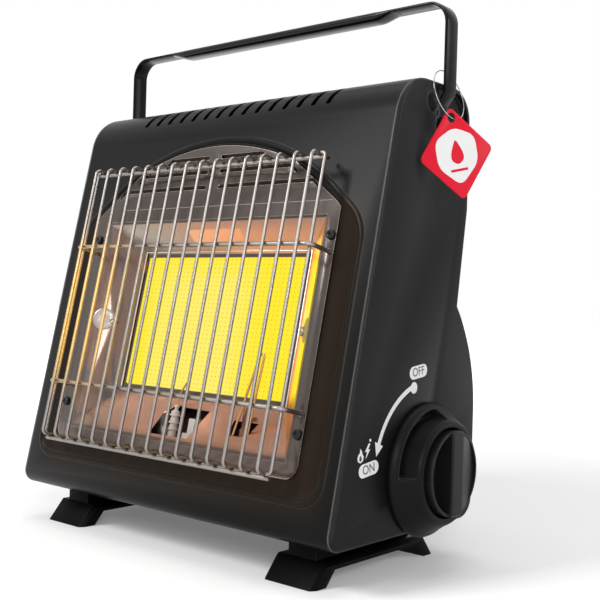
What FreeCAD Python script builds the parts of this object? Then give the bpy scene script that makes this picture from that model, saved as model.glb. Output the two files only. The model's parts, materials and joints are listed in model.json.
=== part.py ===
# Portable radiant gas heater, built as an assembly of separate pieces, in millimetres.
# Working frame: X to the right seen from the front, Y back from the foot of the front face, Z up from the
# floor. The finished pieces are shifted so that the origin lies under the middle of the whole heater.
import FreeCAD, Part
import os
from math import sin, cos, tan, radians, sqrt, pi

V = FreeCAD.Vector

# Casing section, seen from the side
SHELL_HALF = 125.0        # half width of the wrapped shell
LEAN = 12.34              # the front leans back, degrees
FRONT_Z = 25.0            # height at which the front plane crosses Y = 0
BASE_Z = 22.5             # underside of the casing
TOP_Z = 267.5             # top of the casing
REAR_TOP_Y = 120.0        # upper rear wall
REAR_LOW_Y = 133.5        # lower rear wall, over the cartridge
FOLD_Z = 200.0            # where the rear wall starts to lean in
WAIST_Z = 145.0           # where the cartridge bulge starts
WAIST_Y = 112.2
BULGE_R = 95.0
BULGE_Z = 85.0
TOE_R = 8.0               # lower front corner
SHOULDER_R = 28.0         # upper front corner, which carries the louvres
REAR_TOP_R = 18.0
REAR_LOW_R = 12.0
SHEET = 1.0               # casing sheet
SEAM_GAP = 0.3            # between sheets that meet edge to edge
STRIP_Y = 18.0            # the front shell turns under the casing as far as this
REAR_SEAM_Z = 249.6       # the front shell comes down the back as far as this
LAP = 9.0                 # length of a lapped seam

# Side panels
PANEL_DEPTH = 2.5         # how far a panel stands out past the shell
PANEL_WALL = 1.2
PANEL_EDGE_R = 2.2
RECESS_Y = 83.5           # front edge of the handle recess
RECESS_Z = 231.0          # lower edge of the handle recess
RECESS_RIM = 3.0          # rim left round the recess
RECESS_DEPTH = 3.3

# Front opening, in the plane of the front: X across, T up the slope, D into the casing
FLANGE_HALF = 100.0
FLANGE_T0 = 30.0
CREASE_T = 178.6
CREASE_HALF = 96.0
HOOD_SHOULDER_X = 64.0
HOOD_SHOULDER_T = 202.0
HOOD_TOP_T = 215.5
HOOD_TILT = 4.0
FLANGE_R = 8.0
DISH_HALF = 91.8
DISH_T0 = 38.0
DISH_T1 = 170.8
DISH_BACK_HALF = 69.5
DISH_BACK_T0 = 66.0
DISH_BACK_T1 = 156.0
DISH_DEPTH = 19.0
STEEL = 0.8               # stainless sheet
CASING_CLEAR = 2.2        # casing opening beyond the dish
BEAD_HALF = 116.0
BEAD_T0 = 19.4
BEAD_SIDE_T = 166.8
BEAD_TOP_T = 220.2
BEAD_TOP_X = 51.6
BEAD_HEIGHT = 1.0
BEAD_ROD_R = 2.9
BEAD_CORNER_R = 12.0
BEAD_SIDE_R = 28.0
SLIT_ROWS = [(189.5, 78.0), (198.8, 61.0), (207.4, 38.0)]
SLIT_H = 2.2
SLIT_WEB = 5.0
SLIT_DROP = 5.0

# Louvres over the shoulder
LOUVRES = 15
LOUVRE_PITCH = 10.85
LOUVRE_W = 2.4
LOUVRE_A0 = 36.6
LOUVRE_A1 = 75.0

# Guard
WIRES = 16
WIRE_PITCH = 11.94
WIRE_R = 1.0
RAIL_R = 1.2
CROSS_R = 1.3
WELD_GAP = 0.02
GUARD_OUT = 19.0
GUARD_T0 = 31.2
GUARD_T1 = 200.8
WIRE_BACK_TOP = 14.0
WIRE_BACK_LOW = 8.0
WIRE_BEND = 3.0
RAIL_OUT = 12.5
SIDE_WIRE_OUT = 13.5
FIX_X = 96.4              # screws and guard ends lie on this line
CROSS_T = [64.2, 150.2]
FRAME_SCREW_T = [53.3, 159.3]
CROSS_BEND = 4.0
CROSS_IN = 4.0
GUARD_HOLE_R = 1.5
SCREW_R = 1.65
SCREW_HEAD_R = 2.7
SCREW_HEAD_H = 1.8
SCREW_LEN = 8.0
SCREW_CLEAR = 0.1

# Burner
TILE_HALF = 66.0
TILE_T0 = 70.8
TILE_H = 81.5
TILE_D = 12.0
TILE_FACE = 18.4
TILE_CLEAR = 0.5
GASKET_D = 6.0            # how far the gasket reaches back along the tile's edge
BURNER_WALL = 1.2
BURNER_MARGIN = 4.8
BURNER_D1 = 44.0
EAR_T = 108.5
EAR_L = 14.0
WALL_SCREW_AT = 0.55      # how far down the dish wall its screw sits

# Gas train
KNOB_Y = 83.0
KNOB_Z = 55.5
TUBE_Y = 46.0
TUBE_Z = 50.0
TUBE_R = 10.0
TUBE_WALL = 1.0
TUBE_X0 = 94.0
TUBE_X1 = -45.0
TUBE_BEND = 16.0
WINDOW_L = 8.0
INJECTOR_R = 3.0
PIPE_R = 2.0
VALVE_X0 = 108.0
VALVE_X1 = 122.0
VALVE_W = 26.0
VALVE_H = 25.0
OUTLET_X = 115.0
STEM_R = 4.0
STEM_CLEAR = 0.06
STEM_X1 = 141.0
STEM_X0 = 112.0
PANEL_HOLE_R = 6.0
REG_R = 18.0
REG_X0 = 92.0
PIEZO_H = 15.0
LEAD_R = 1.4
SENSE_R = 1.1

# Electrodes in the dish floor, placed across, into the casing and up the slope
ELECTRODE = (-11.0, 14.0)
SENSOR = (47.5, 11.4)
LOOP_FEET = [(44.0, 7.4), (54.6, 7.6)]
LOOP_TOP = (57.4, 5.6, 94.0)
SHELF_T = 35.0
BRACKET_D = 24.0

# Cartridge bay
CART_R = 33.0
CART_Y = 98.0
CART_CLEAR = 0.8
CRADLE_T = 1.0
CRADLE_X0 = -88.0
CRADLE_X1 = 70.0
COLLAR_R = 21.0
COLLAR_BORE = 15.0
COLLAR_X0 = 79.0
SHIELD_T = 1.0
SHIELD_HALF = 124.0
SHIELD_PATH = [(60.0, BASE_Z + SHEET), (60.0, 76.0), (73.0, 135.0), (110.4, 149.6)]

# Cartridge cover
DOOR_Z0 = 34.0
DOOR_Z1 = 142.5
DOOR_HALF = 124.5
HINGE_Y = 130.2
HINGE_Z = 31.0
KNUCKLE_R = 2.6
PIN_R = 1.5
PIN_CLEAR = 0.08
KNUCKLE_IN = 80.0
KNUCKLE_MID = 95.0
KNUCKLE_OUT = 110.0
KNUCKLE_GAP = 0.3
LATCH_ANGLE = 30.0        # place of the latch on the bulge, degrees above the horizontal
LATCH_TRAVEL = 5.0
LATCH_W = 26.0
LATCH_H = 13.0
LATCH_STEM_W = 10.0
LATCH_STEM_H = 8.0
LATCH_CLEAR = 0.3
TONGUE_W = 16.0
TONGUE_IN = 3.3           # the tongue's outer face below the cover's outside
TONGUE_T = 1.4
TONGUE_TOP = 10.8
STRIKE_Z = 137.5          # the rear shell's lip hangs down to here behind the cover
STRIKE_HALF = 30.0
LIP_HALF = 122.0

# Knob and shroud
SHROUD_R = 36.5
SHROUD_H = 15.5
CREST_R = 27.0
WELL_R = 23.8
WELL_FLOOR = 4.2
KNOB_R = 23.0
KNOB_H = 18.5
KNOB_BASE = 5.0           # knob's back above the panel
RIDGE_W = 11.0
RIDGE_RISE = 2.0
FLANK_STEP = 0.5          # the flank behind the ridge starts this far below its top
FLANK_DROP = 1.2          # and ends this far below the rim
FLANK_GROOVE = 0.7        # groove left inside the rim
POCKET_FLOOR = 9.5
RIM_WALL = 1.5
POCKET_R0 = 28.6
POCKET_R1 = 33.4
POCKET_H0 = 1.0

# Handle
PIVOT_Y = 92.0
PIVOT_Z = 244.0
STRAP_W = 11.0
STRAP_T = 1.8
ARM_GAP = 1.7             # between the side panel and the arm, where the ring passes
BAR_TOP_Z = 313.0
STRAP_CORNER_R = 13.0
EAR_R = 8.0
EAR_GAP = 0.3
JOGGLE_Z0 = 255.5
JOGGLE_Z1 = 262.0
PIVOT_R = 3.0
PIVOT_CLEAR = 0.05
PIVOT_HEAD_R = 5.0
PIVOT_HEAD_H = 1.8
GRIP_HALF = 88.0
GRIP_D = 15.0
GRIP_H = 8.0
GRIP_RISE = 1.8
GRIP_R = 3.4
STOP_Y = 80.0
STOP_Z = 255.5
STOP_R = 6.0
STOP_H = 2.6
STOP_LAND_GAP = 0.4       # between the arm and the land that the stop boss stands on
STOP_LAND_Z = 251.5

# Tag and its ring
TAG_TOP = (135.0, 84.2, 252.7)
TAG_SIDE = 36.2
TAG_T = 0.6
TAG_TURN = 20.0           # the tag's face is turned this far to the front
TAG_ROLL = -31.4          # its upper edge falls this far
TAG_R = 3.0
TAG_HOLE_R = 2.75
TAG_HOLE_IN = 6.0
RING_WIRE = 0.3
RING_CLEAR = 0.1
RING_LIFT = 0.1           # the wire lies this far above the middle of the tag's hole
RING_TOP_Y = 92.3
RING_TOP_Z = 273.4

# Feet
FOOT_X0 = 76.0
FOOT_X1 = 111.0
FOOT_Y0 = 8.5
FOOT_Y1 = 120.3
FOOT_H = 12.5
FOOT_SLOPE = 10.5
TOE_L = 11.0
ARCH_Z = 8.0
ARCH_SLOPE = 7.0
FOOT_BEVEL = 2.5
NECK_X0 = 84.5
NECK_X1 = 103.5
NECK_Y0 = 20.0
NECK_Y1 = 104.0
FOOT_SCREW_Y = [36.0, 90.0]
FOOT_SCREW_R = 1.75
FOOT_HEAD_R = 3.4
FOOT_HEAD_H = 2.2

# Values worked out from the sizes above
PANEL_X = SHELL_HALF + PANEL_DEPTH
SLOPE_SIN = sin(radians(LEAN))
SLOPE_COS = cos(radians(LEAN))
TOE_Y = (TOE_R + SLOPE_SIN * (BASE_Z + TOE_R - FRONT_Z)) / SLOPE_COS
SHOULDER_Z = TOP_Z - SHOULDER_R
SHOULDER_Y = (SHOULDER_R + SLOPE_SIN * (SHOULDER_Z - FRONT_Z)) / SLOPE_COS
CART_Z = BASE_Z + SHEET + CRADLE_T + CART_CLEAR + CART_R
SIDE_IN = PANEL_X - 27.5
SIDE_OUT = PANEL_X + 12.5
OVER_TOP = TOP_Z + 32.5
STOP_LAND_Y = PIVOT_Y - STRAP_W / 2 - STOP_LAND_GAP
ARM_IN = PANEL_X + ARM_GAP
ARM_OUT = ARM_IN + STRAP_T
EAR_X0 = PANEL_X - RECESS_DEPTH + EAR_GAP
EAR_X1 = EAR_X0 + STRAP_T
GUARD_LOW_OUT = GUARD_OUT - WIRE_BACK_LOW
CROSS_OUT = GUARD_OUT - WIRE_R - CROSS_R - WELD_GAP
RAIL_STEP = WIRE_R + RAIL_R + WELD_GAP
SIDE_WIRE_X = FIX_X - CROSS_R - WIRE_R - WELD_GAP
TUBE_TOP_T = DISH_BACK_T0 - BURNER_WALL
KNOB_FRONT = PANEL_X + KNOB_H + RIDGE_RISE
FOREMOST_Y = SLOPE_SIN * (GUARD_T0 + WIRE_BEND) - SLOPE_COS * (GUARD_OUT - WIRE_BEND) - WIRE_BEND - WIRE_R
ORIGIN_X = (KNOB_FRONT - ARM_OUT) / 2
ORIGIN_Y = (REAR_LOW_Y + FOREMOST_Y) / 2


# Basic shapes
def box(x0, x1, y0, y1, z0, z1):
    return Part.makeBox(x1 - x0, y1 - y0, z1 - z0, V(x0, y0, z0))


def rod_x(x0, x1, y, z, r):
    return Part.makeCylinder(r, x1 - x0, V(x0, y, z), V(1, 0, 0))


def rod_z(x, y, z0, z1, r):
    return Part.makeCylinder(r, z1 - z0, V(x, y, z0), V(0, 0, 1))


def prism_x(points, x0, x1):
    """A flat outline of (y, z) points, drawn out along X."""
    loop = [V(x0, y, z) for y, z in points]
    return Part.Face(Part.makePolygon(loop + loop[:1])).extrude(V(x1 - x0, 0, 0))


def rounded_outline(points, radii, place):
    """A closed outline with an arc of the given radius at each corner."""
    edges = []
    ends = []
    count = len(points)
    for i, radius in enumerate(radii):
        here = V(*points[i], 0)
        before = (V(*points[i - 1], 0) - here).normalize()
        after = (V(*points[(i + 1) % count], 0) - here).normalize()
        half = before.getAngle(after) / 2
        reach = radius / tan(half)
        middle = (before + after).normalize() * (radius / sin(half) - radius)
        ends.append([here + before * reach, here + middle, here + after * reach])
    for i, (start, middle, end) in enumerate(ends):
        edges.append(Part.Arc(place(start), place(middle), place(end)).toShape())
        following = ends[(i + 1) % count][0]
        if (following - end).Length > 0.001:
            edges.append(Part.LineSegment(place(end), place(following)).toShape())
    return Part.Wire(edges)


def bent_path(points, radii):
    """Straight runs joined by tangent arcs."""
    points = [V(*p) for p in points]
    edges = []
    last = points[0]
    for i, radius in enumerate(radii):
        here = points[i + 1]
        before = (points[i] - here).normalize()
        after = (points[i + 2] - here).normalize()
        half = before.getAngle(after) / 2
        reach = radius / tan(half)
        start = here + before * reach
        end = here + after * reach
        middle = here + (before + after).normalize() * (radius / sin(half) - radius)
        edges.append(Part.LineSegment(last, start).toShape())
        edges.append(Part.Arc(start, middle, end).toShape())
        last = end
    edges.append(Part.LineSegment(last, points[-1]).toShape())
    return Part.Wire(edges)


def wire(points, radii, r):
    """A round wire or tube of radius r along a bent path."""
    path = bent_path(points, radii)
    start = V(*points[0])
    ring = Part.Wire(Part.Circle(start, V(*points[1]) - start, r).toShape())
    return path.makePipeShell([ring], True, False)


def lean(shape):
    """Takes a shape drawn as (across, into the casing, up the slope) to its place in the front."""
    shape = shape.copy()
    shape.rotate(V(0, 0, 0), V(1, 0, 0), -LEAN)
    shape.translate(V(0, 0, FRONT_Z))
    return shape


def sloped(x, d, t):
    """A point of the sloping front in the working frame."""
    return V(x, d * SLOPE_COS + t * SLOPE_SIN, FRONT_Z - d * SLOPE_SIN + t * SLOPE_COS)


def mirrored(shape):
    return shape.mirror(V(0, 0, 0), V(1, 0, 0))


def compound(shapes):
    return Part.makeCompound(shapes)


# Casing section
def section(inset):
    """The casing's side outline, moved inwards by inset, as edges in the plane X = 0."""
    front = V(0, SLOPE_COS, -SLOPE_SIN)
    toe = V(0, TOE_Y, BASE_Z + TOE_R)
    toe_r = TOE_R - inset
    shoulder = V(0, SHOULDER_Y, SHOULDER_Z)
    shoulder_r = SHOULDER_R - inset
    crown = V(0, REAR_TOP_Y - REAR_TOP_R, TOP_Z - REAR_TOP_R)
    crown_r = REAR_TOP_R - inset
    heel = V(0, REAR_LOW_Y - REAR_LOW_R, BASE_Z + REAR_LOW_R)
    heel_r = REAR_LOW_R - inset
    down = V(0, 0, -1)
    back = V(0, 1, 0)

    def arc(centre, r, start, end):
        middle = (start + end).normalize()
        return Part.Arc(centre + start * r, centre + middle * r, centre + end * r).toShape()

    slant = V(0, WAIST_Y - REAR_TOP_Y, WAIST_Z - FOLD_Z).normalize()
    inward = V(0, slant.z, -slant.y)
    on_slant = V(0, WAIST_Y, WAIST_Z) + inward * inset
    fold = on_slant + slant * ((REAR_TOP_Y - inset - on_slant.y) / slant.y)
    bulge = V(0, REAR_LOW_Y - BULGE_R, BULGE_Z)
    bulge_r = BULGE_R - inset
    offset = on_slant - bulge
    along = -offset.dot(slant)
    depth = sqrt(bulge_r ** 2 - (offset + slant * along).Length ** 2)
    waist = on_slant + slant * (along - depth)
    waist_way = (waist - bulge).normalize()

    line = Part.LineSegment
    return [arc(toe, toe_r, down, -front),
            line(toe - front * toe_r, shoulder - front * shoulder_r).toShape(),
            arc(shoulder, shoulder_r, -front, -down),
            line(shoulder - down * shoulder_r, crown - down * crown_r).toShape(),
            arc(crown, crown_r, -down, back),
            line(crown + back * crown_r, fold).toShape(),
            line(fold, waist).toShape(),
            arc(bulge, bulge_r, waist_way, back),
            line(bulge + back * bulge_r, heel + back * heel_r).toShape(),
            arc(heel, heel_r, back, down),
            line(heel + down * heel_r, toe + down * toe_r).toShape()]


def solid_section(inset, x0, x1):
    """The casing's section drawn out between two planes."""
    face = Part.Face(Part.Wire(section(inset)))
    face.translate(V(x0, 0, 0))
    return face.extrude(V(x1 - x0, 0, 0))


def casing_sheet(inset):
    outer = solid_section(inset, -SHELL_HALF, SHELL_HALF)
    return outer.cut(solid_section(inset + SHEET, -SHELL_HALF - 1, SHELL_HALF + 1))


# Shell pieces
def bead():
    """The pressed bead round the front opening, with the hollow behind it."""
    points = [(-BEAD_HALF, BEAD_T0), (BEAD_HALF, BEAD_T0), (BEAD_HALF, BEAD_SIDE_T),
              (BEAD_TOP_X, BEAD_TOP_T), (-BEAD_TOP_X, BEAD_TOP_T), (-BEAD_HALF, BEAD_SIDE_T)]
    turn = V(BEAD_HALF - BEAD_TOP_X, BEAD_SIDE_T - BEAD_TOP_T, 0).getAngle(V(1, 0, 0))
    top_r = 0.998 * BEAD_TOP_X / tan(turn / 2)
    radii = [BEAD_CORNER_R, BEAD_CORNER_R, BEAD_SIDE_R, top_r, top_r, BEAD_SIDE_R]
    depth = BEAD_ROD_R - BEAD_HEIGHT
    path = rounded_outline(points, radii, lambda p: V(p.x, depth, p.y))
    start = path.Edges[1].valueAt(path.Edges[1].FirstParameter)
    rods = []
    for r in (BEAD_ROD_R, BEAD_ROD_R - SHEET):
        edge = path.Edges[1]
        ring = Part.Wire(Part.Circle(start, edge.tangentAt(edge.FirstParameter), r).toShape())
        run = Part.Wire(path.Edges[1:] + path.Edges[:1])
        rods.append(run.makePipeShell([ring], True, True))
    slab = box(-SHELL_HALF, SHELL_HALF, -10, SHEET, 0, 240)
    return lean(rods[0].common(slab)), lean(rods[1])


def hood_points(margin):
    """Half of the hood's outline, moved in by a margin."""
    return [(CREASE_HALF - margin, CREASE_T + margin / 2),
            (HOOD_SHOULDER_X - margin, HOOD_SHOULDER_T - margin / 2),
            (0, HOOD_TOP_T - margin)]


def hood_plate(margin, d0, d1):
    side, shoulder, top = hood_points(margin)

    def at(p, sign=1):
        return V(sign * p[0], d0, p[1])

    edges = [Part.LineSegment(at(side, -1), at(side)).toShape(),
             Part.LineSegment(at(side), at(shoulder)).toShape(),
             Part.Arc(at(shoulder), at(top), at(shoulder, -1)).toShape(),
             Part.LineSegment(at(shoulder, -1), at(side, -1)).toShape()]
    return Part.Face(Part.Wire(edges)).extrude(V(0, d1 - d0, 0))


def louvre(x):
    """One slot over the shoulder, with rounded ends."""
    reach = SHOULDER_R + 4

    def at(angle, r):
        a = radians(angle)
        return V(x, SHOULDER_Y - r * cos(a), SHOULDER_Z + r * sin(a))

    middle = (LOUVRE_A0 + LOUVRE_A1) / 2
    loop = [at(LOUVRE_A0, 5), at(LOUVRE_A0, reach), at(middle, reach * 1.1), at(LOUVRE_A1, reach), at(LOUVRE_A1, 5)]
    slot = Part.Face(Part.makePolygon(loop + loop[:1])).extrude(V(LOUVRE_W, 0, 0))
    slot.translate(V(-LOUVRE_W / 2, 0, 0))
    for angle in (LOUVRE_A0, LOUVRE_A1):
        way = at(angle, reach) - at(angle, 5)
        slot = slot.fuse(Part.makeCylinder(LOUVRE_W / 2, reach - 5, at(angle, 5), way))
    return slot


def front_shell():
    shell = casing_sheet(0)
    shell = shell.cut(box(-200, 200, STRIP_Y, 300, 0, 40))
    shell = shell.cut(box(-200, 200, 100, 300, 30, REAR_SEAM_Z))
    ridge, hollow = bead()
    shell = shell.fuse(ridge).cut(hollow)
    reach = CASING_CLEAR
    opening = box(-DISH_HALF - reach, DISH_HALF + reach, -2, 4, DISH_T0 - reach, DISH_T1 + reach)
    shell = shell.cut(lean(opening))
    shell = shell.cut(lean(hood_plate(8.0, -2, 4)))
    for sign in (-1, 1):
        for t in FRAME_SCREW_T:
            shell = shell.cut(lean(Part.makeCylinder(SCREW_R + SCREW_CLEAR, 6, V(sign * FIX_X, -2, t), V(0, 1, 0))))
        for t in CROSS_T:
            shell = shell.cut(lean(Part.makeCylinder(GUARD_HOLE_R, 6, V(sign * FIX_X, -2, t), V(0, 1, 0))))
    slots = [louvre((i - (LOUVRES - 1) / 2) * LOUVRE_PITCH) for i in range(LOUVRES)]
    return shell.cut(compound(slots))


def rear_shell():
    wall = casing_sheet(0).common(box(-200, 200, 100, 300, WAIST_Z + 1.5, REAR_SEAM_Z - SEAM_GAP))
    lip = casing_sheet(SHEET).common(box(-LIP_HALF, LIP_HALF, 100, 300, REAR_SEAM_Z - LAP, REAR_SEAM_Z + LAP))
    foot_z = WAIST_Z + 1.5
    strike = casing_sheet(SHEET + SEAM_GAP).common(box(-STRIKE_HALF, STRIKE_HALF, 100, 300, STRIKE_Z, foot_z + LAP))
    packer = casing_sheet(SHEET).common(box(-STRIKE_HALF, STRIKE_HALF, 100, 300, foot_z, foot_z + LAP))
    shell = wall.fuse(lip).fuse(packer).fuse(strike)
    for row in range(2):
        for i in range(-3, 4):
            z = 212 + 12 * row
            shell = shell.cut(box(i * 26 - 9, i * 26 + 9, 110, 130, z, z + 3))
    for x in (-90, 90):
        shell = shell.cut(Part.makeCylinder(SCREW_R + SCREW_CLEAR, 20, V(x, 108, REAR_SEAM_Z - 4.5), V(0, 1, 0)))
    return shell


def knuckle(x0, x1, tab_z0, tab_z1, tab_y0, tab_y1):
    """A hinge knuckle with the tab that carries it."""
    barrel = rod_x(x0, x1, HINGE_Y, HINGE_Z, KNUCKLE_R)
    tab = box(x0, x1, tab_y0, tab_y1, tab_z0, tab_z1)
    return barrel.fuse(tab).cut(rod_x(x0 - 1, x1 + 1, HINGE_Y, HINGE_Z, PIN_R + PIN_CLEAR))


def base_plate():
    plate = casing_sheet(0).common(box(-200, 200, STRIP_Y + SEAM_GAP, 300, 0, 27.0))
    lap = casing_sheet(SHEET).common(box(-200, 200, TOE_Y, STRIP_Y + LAP, 0, 26.0))
    plate = plate.fuse(lap)
    for sign in (-1, 1):
        x0 = KNUCKLE_IN if sign > 0 else -KNUCKLE_MID + KNUCKLE_GAP
        x1 = KNUCKLE_MID - KNUCKLE_GAP if sign > 0 else -KNUCKLE_IN
        plate = plate.fuse(knuckle(x0, x1, 25.0, 29.0, 128.2, 130.4))
        for y in FOOT_SCREW_Y:
            x = sign * (NECK_X0 + NECK_X1) / 2
            plate = plate.cut(rod_z(x, y, 20, 30, FOOT_SCREW_R + SCREW_CLEAR / 2))
    for i in range(-3, 4):
        plate = plate.cut(box(i * 20 - 2, i * 20 + 2, 30, 54, 20, 30))
    return plate


def side_panel(knob_side):
    """A shallow tray with a rounded rim, a recess for the handle's ear and a stop boss."""
    plate = solid_section(0, SHELL_HALF, PANEL_X)
    rim = [e for e in plate.Edges if abs(e.BoundBox.XMin - PANEL_X) < 1e-6 and abs(e.BoundBox.XMax - PANEL_X) < 1e-6]
    plate = plate.makeFillet(PANEL_EDGE_R, rim)
    plate = plate.cut(solid_section(PANEL_WALL, SHELL_HALF - 1, PANEL_X - PANEL_WALL))
    floor = PANEL_X - RECESS_DEPTH
    pan = solid_section(RECESS_RIM - PANEL_WALL, floor - PANEL_WALL, PANEL_X - PANEL_WALL / 2)
    pan = pan.common(box(SIDE_IN, SIDE_OUT, RECESS_Y - PANEL_WALL, 200, RECESS_Z - PANEL_WALL, OVER_TOP))
    dip = solid_section(RECESS_RIM, floor, PANEL_X + 1)
    dip = dip.common(box(SIDE_IN, SIDE_OUT, RECESS_Y, 200, RECESS_Z, OVER_TOP))
    dip = dip.cut(box(SIDE_IN, SIDE_OUT, RECESS_Y - 1, STOP_LAND_Y, STOP_LAND_Z, OVER_TOP))
    plate = plate.fuse(pan).cut(dip)
    ball_r = (STOP_R ** 2 + STOP_H ** 2) / (2 * STOP_H)
    ball = Part.makeSphere(ball_r, V(PANEL_X + STOP_H - ball_r, STOP_Y, STOP_Z))
    plate = plate.fuse(ball.common(box(PANEL_X - PANEL_WALL / 2, SIDE_OUT, 0, STOP_LAND_Y, RECESS_Z - 31, OVER_TOP)))
    plate = plate.cut(rod_x(SIDE_IN, SIDE_OUT, PIVOT_Y, PIVOT_Z, PIVOT_R + PIVOT_CLEAR))
    if knob_side:
        plate = plate.cut(rod_x(SIDE_IN, SIDE_OUT, KNOB_Y, KNOB_Z, PANEL_HOLE_R))
        return plate
    return mirrored(plate)


def rear_screws():
    screws = []
    for x in (-90, 90):
        z = REAR_SEAM_Z - 4.5
        head = Part.makeCylinder(SCREW_HEAD_R, SCREW_HEAD_H, V(x, REAR_TOP_Y, z), V(0, 1, 0))
        shank = Part.makeCylinder(SCREW_R, SCREW_LEN, V(x, REAR_TOP_Y - SCREW_LEN, z), V(0, 1, 0))
        screws.append(head.fuse(shank))
    return compound(screws)


# Feet
def foot(sign):
    y0, y1 = FOOT_Y0, FOOT_Y1
    outline = [(y0, 0), (y0 + TOE_L, 0), (y0 + TOE_L + ARCH_SLOPE, ARCH_Z), (y1 - TOE_L - ARCH_SLOPE, ARCH_Z),
               (y1 - TOE_L, 0), (y1, 0), (y1 - FOOT_SLOPE, FOOT_H), (y0 + FOOT_SLOPE, FOOT_H)]
    rail = prism_x(outline, FOOT_X0, FOOT_X1)
    edges = []
    for e in rail.Edges:
        b = e.BoundBox
        flat = b.XMax - b.XMin < 1e-6
        on_top = b.ZMax > FOOT_H - 1e-6 and not (b.ZMin < 1e-6 and b.YMax - b.YMin < 1e-6)
        if flat and on_top and b.YMax - b.YMin > 1:
            edges.append(e)
    rail = rail.makeChamfer(FOOT_BEVEL, edges)
    rail = rail.fuse(box(NECK_X0, NECK_X1, NECK_Y0, NECK_Y1, FOOT_H - 1, BASE_Z))
    x = (NECK_X0 + NECK_X1) / 2
    for y in FOOT_SCREW_Y:
        rail = rail.cut(rod_z(x, y, 0, 30, FOOT_SCREW_R + SCREW_CLEAR / 2))
        rail = rail.cut(rod_z(x, y, 0, ARCH_Z + FOOT_HEAD_H + 0.6, FOOT_HEAD_R + 0.3))
    rail = rail.removeSplitter()
    return rail if sign > 0 else mirrored(rail)


def foot_screws():
    screws = []
    z = ARCH_Z + 0.6
    for sign in (-1, 1):
        x = sign * (NECK_X0 + NECK_X1) / 2
        for y in FOOT_SCREW_Y:
            head = rod_z(x, y, z, z + FOOT_HEAD_H, FOOT_HEAD_R)
            screws.append(head.fuse(rod_z(x, y, z + FOOT_HEAD_H, BASE_Z + 5, FOOT_SCREW_R)))
    return compound(screws)


# Reflector
def rect_wire(half, t0, t1, d):
    loop = [V(-half, d, t0), V(half, d, t0), V(half, d, t1), V(-half, d, t1)]
    return Part.makePolygon(loop + loop[:1])


def funnel(grow, d0, d1):
    """The dish's space, widened by grow, as a four-sided funnel."""
    def at(d):
        share = (d + STEEL) / (DISH_DEPTH + STEEL)
        half = DISH_HALF + (DISH_BACK_HALF - DISH_HALF) * share + grow
        t0 = DISH_T0 + (DISH_BACK_T0 - DISH_T0) * share - grow
        t1 = DISH_T1 + (DISH_BACK_T1 - DISH_T1) * share + grow
        return rect_wire(half, t0, t1, d)
    return Part.makeLoft([at(d0), at(d1)], True, True)


def wall_pads():
    """Centre and outward normal of the dish wall where its screw sits, on the right side."""
    run = V(DISH_BACK_HALF - DISH_HALF, DISH_DEPTH + STEEL, 0)
    centre = V(DISH_HALF, -STEEL, 0) + run * WALL_SCREW_AT
    normal = V(run.y, -run.x, 0).normalize()
    return V(centre.x, centre.y, EAR_T), V(normal.x, normal.y, 0)


def slit(t, half, sign):
    """Half a slit of the hood: a long run with its outer end bent down."""
    long_run = box(SLIT_WEB, half, -6, 6, t, t + SLIT_H)
    loop = [V(half, -6, t), V(half + SLIT_DROP, -6, t - SLIT_DROP + 1), V(half + SLIT_DROP, -6, t - SLIT_DROP + 1 + SLIT_H),
            V(half, -6, t + SLIT_H)]
    drop = Part.Face(Part.makePolygon(loop + loop[:1])).extrude(V(0, 12, 0))
    shape = long_run.fuse(drop)
    return shape if sign > 0 else mirrored(shape)


def reflector():
    flange = box(-FLANGE_HALF, FLANGE_HALF, -STEEL, 0, FLANGE_T0, CREASE_T)
    corners = [e for e in flange.Edges if e.BoundBox.YMax - e.BoundBox.YMin > 0.5]
    flange = flange.makeFillet(FLANGE_R, [e for e in corners if e.BoundBox.ZMax < CREASE_T - 1])
    tops = [e for e in flange.Edges if e.BoundBox.YMax - e.BoundBox.YMin > 0.5 and e.BoundBox.ZMin > CREASE_T - 1]
    flange = flange.makeChamfer(FLANGE_HALF - CREASE_HALF, tops)
    hood = hood_plate(0.0, -STEEL, 0)
    for t, half in SLIT_ROWS:
        for sign in (-1, 1):
            hood = hood.cut(slit(t, half, sign))
    hood.rotate(V(0, 0, CREASE_T), V(1, 0, 0), HOOD_TILT)
    outer = funnel(STEEL * 1.15, -STEEL, DISH_DEPTH + STEEL)
    plate = flange.fuse(hood).fuse(outer)
    plate = plate.cut(funnel(0, -STEEL - 0.01, DISH_DEPTH))
    gap = TILE_CLEAR
    hole = box(-TILE_HALF - gap, TILE_HALF + gap, 0, 40, TILE_T0 - gap, TILE_T0 + TILE_H + gap)
    plate = plate.cut(hole)
    plate = plate.cut(cutouts())
    for sign in (-1, 1):
        for t in FRAME_SCREW_T:
            plate = plate.cut(Part.makeCylinder(SCREW_R + SCREW_CLEAR, 6, V(sign * FIX_X, -3, t), V(0, 1, 0)))
        for t in CROSS_T:
            plate = plate.cut(Part.makeCylinder(GUARD_HOLE_R, 6, V(sign * FIX_X, -3, t), V(0, 1, 0)))
        centre, normal = wall_pads()
        drill = Part.makeCylinder(SCREW_R + SCREW_CLEAR, 12, centre - normal * 6, normal)
        plate = plate.cut(drill if sign > 0 else mirrored(drill))
    return lean(plate)


def cutouts():
    """The two holes in the dish floor, for the electrode and for the flame sensor."""
    left = [(-18.0, 2.0), (-18.5, 11.5), (-14.0, 15.5), (16.5, 15.0), (15.5, 9.5), (14.0, 2.0)]
    right = [(41.0, 6.0), (38.7, 12.8), (57.4, 12.9), (55.2, 6.2)]
    cuts = []
    for outline in (left, right):
        loop = [V(x, d, 30) for x, d in outline]
        cuts.append(Part.Face(Part.makePolygon(loop + loop[:1])).extrude(V(0, 0, 34)))
    return compound(cuts)


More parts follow.
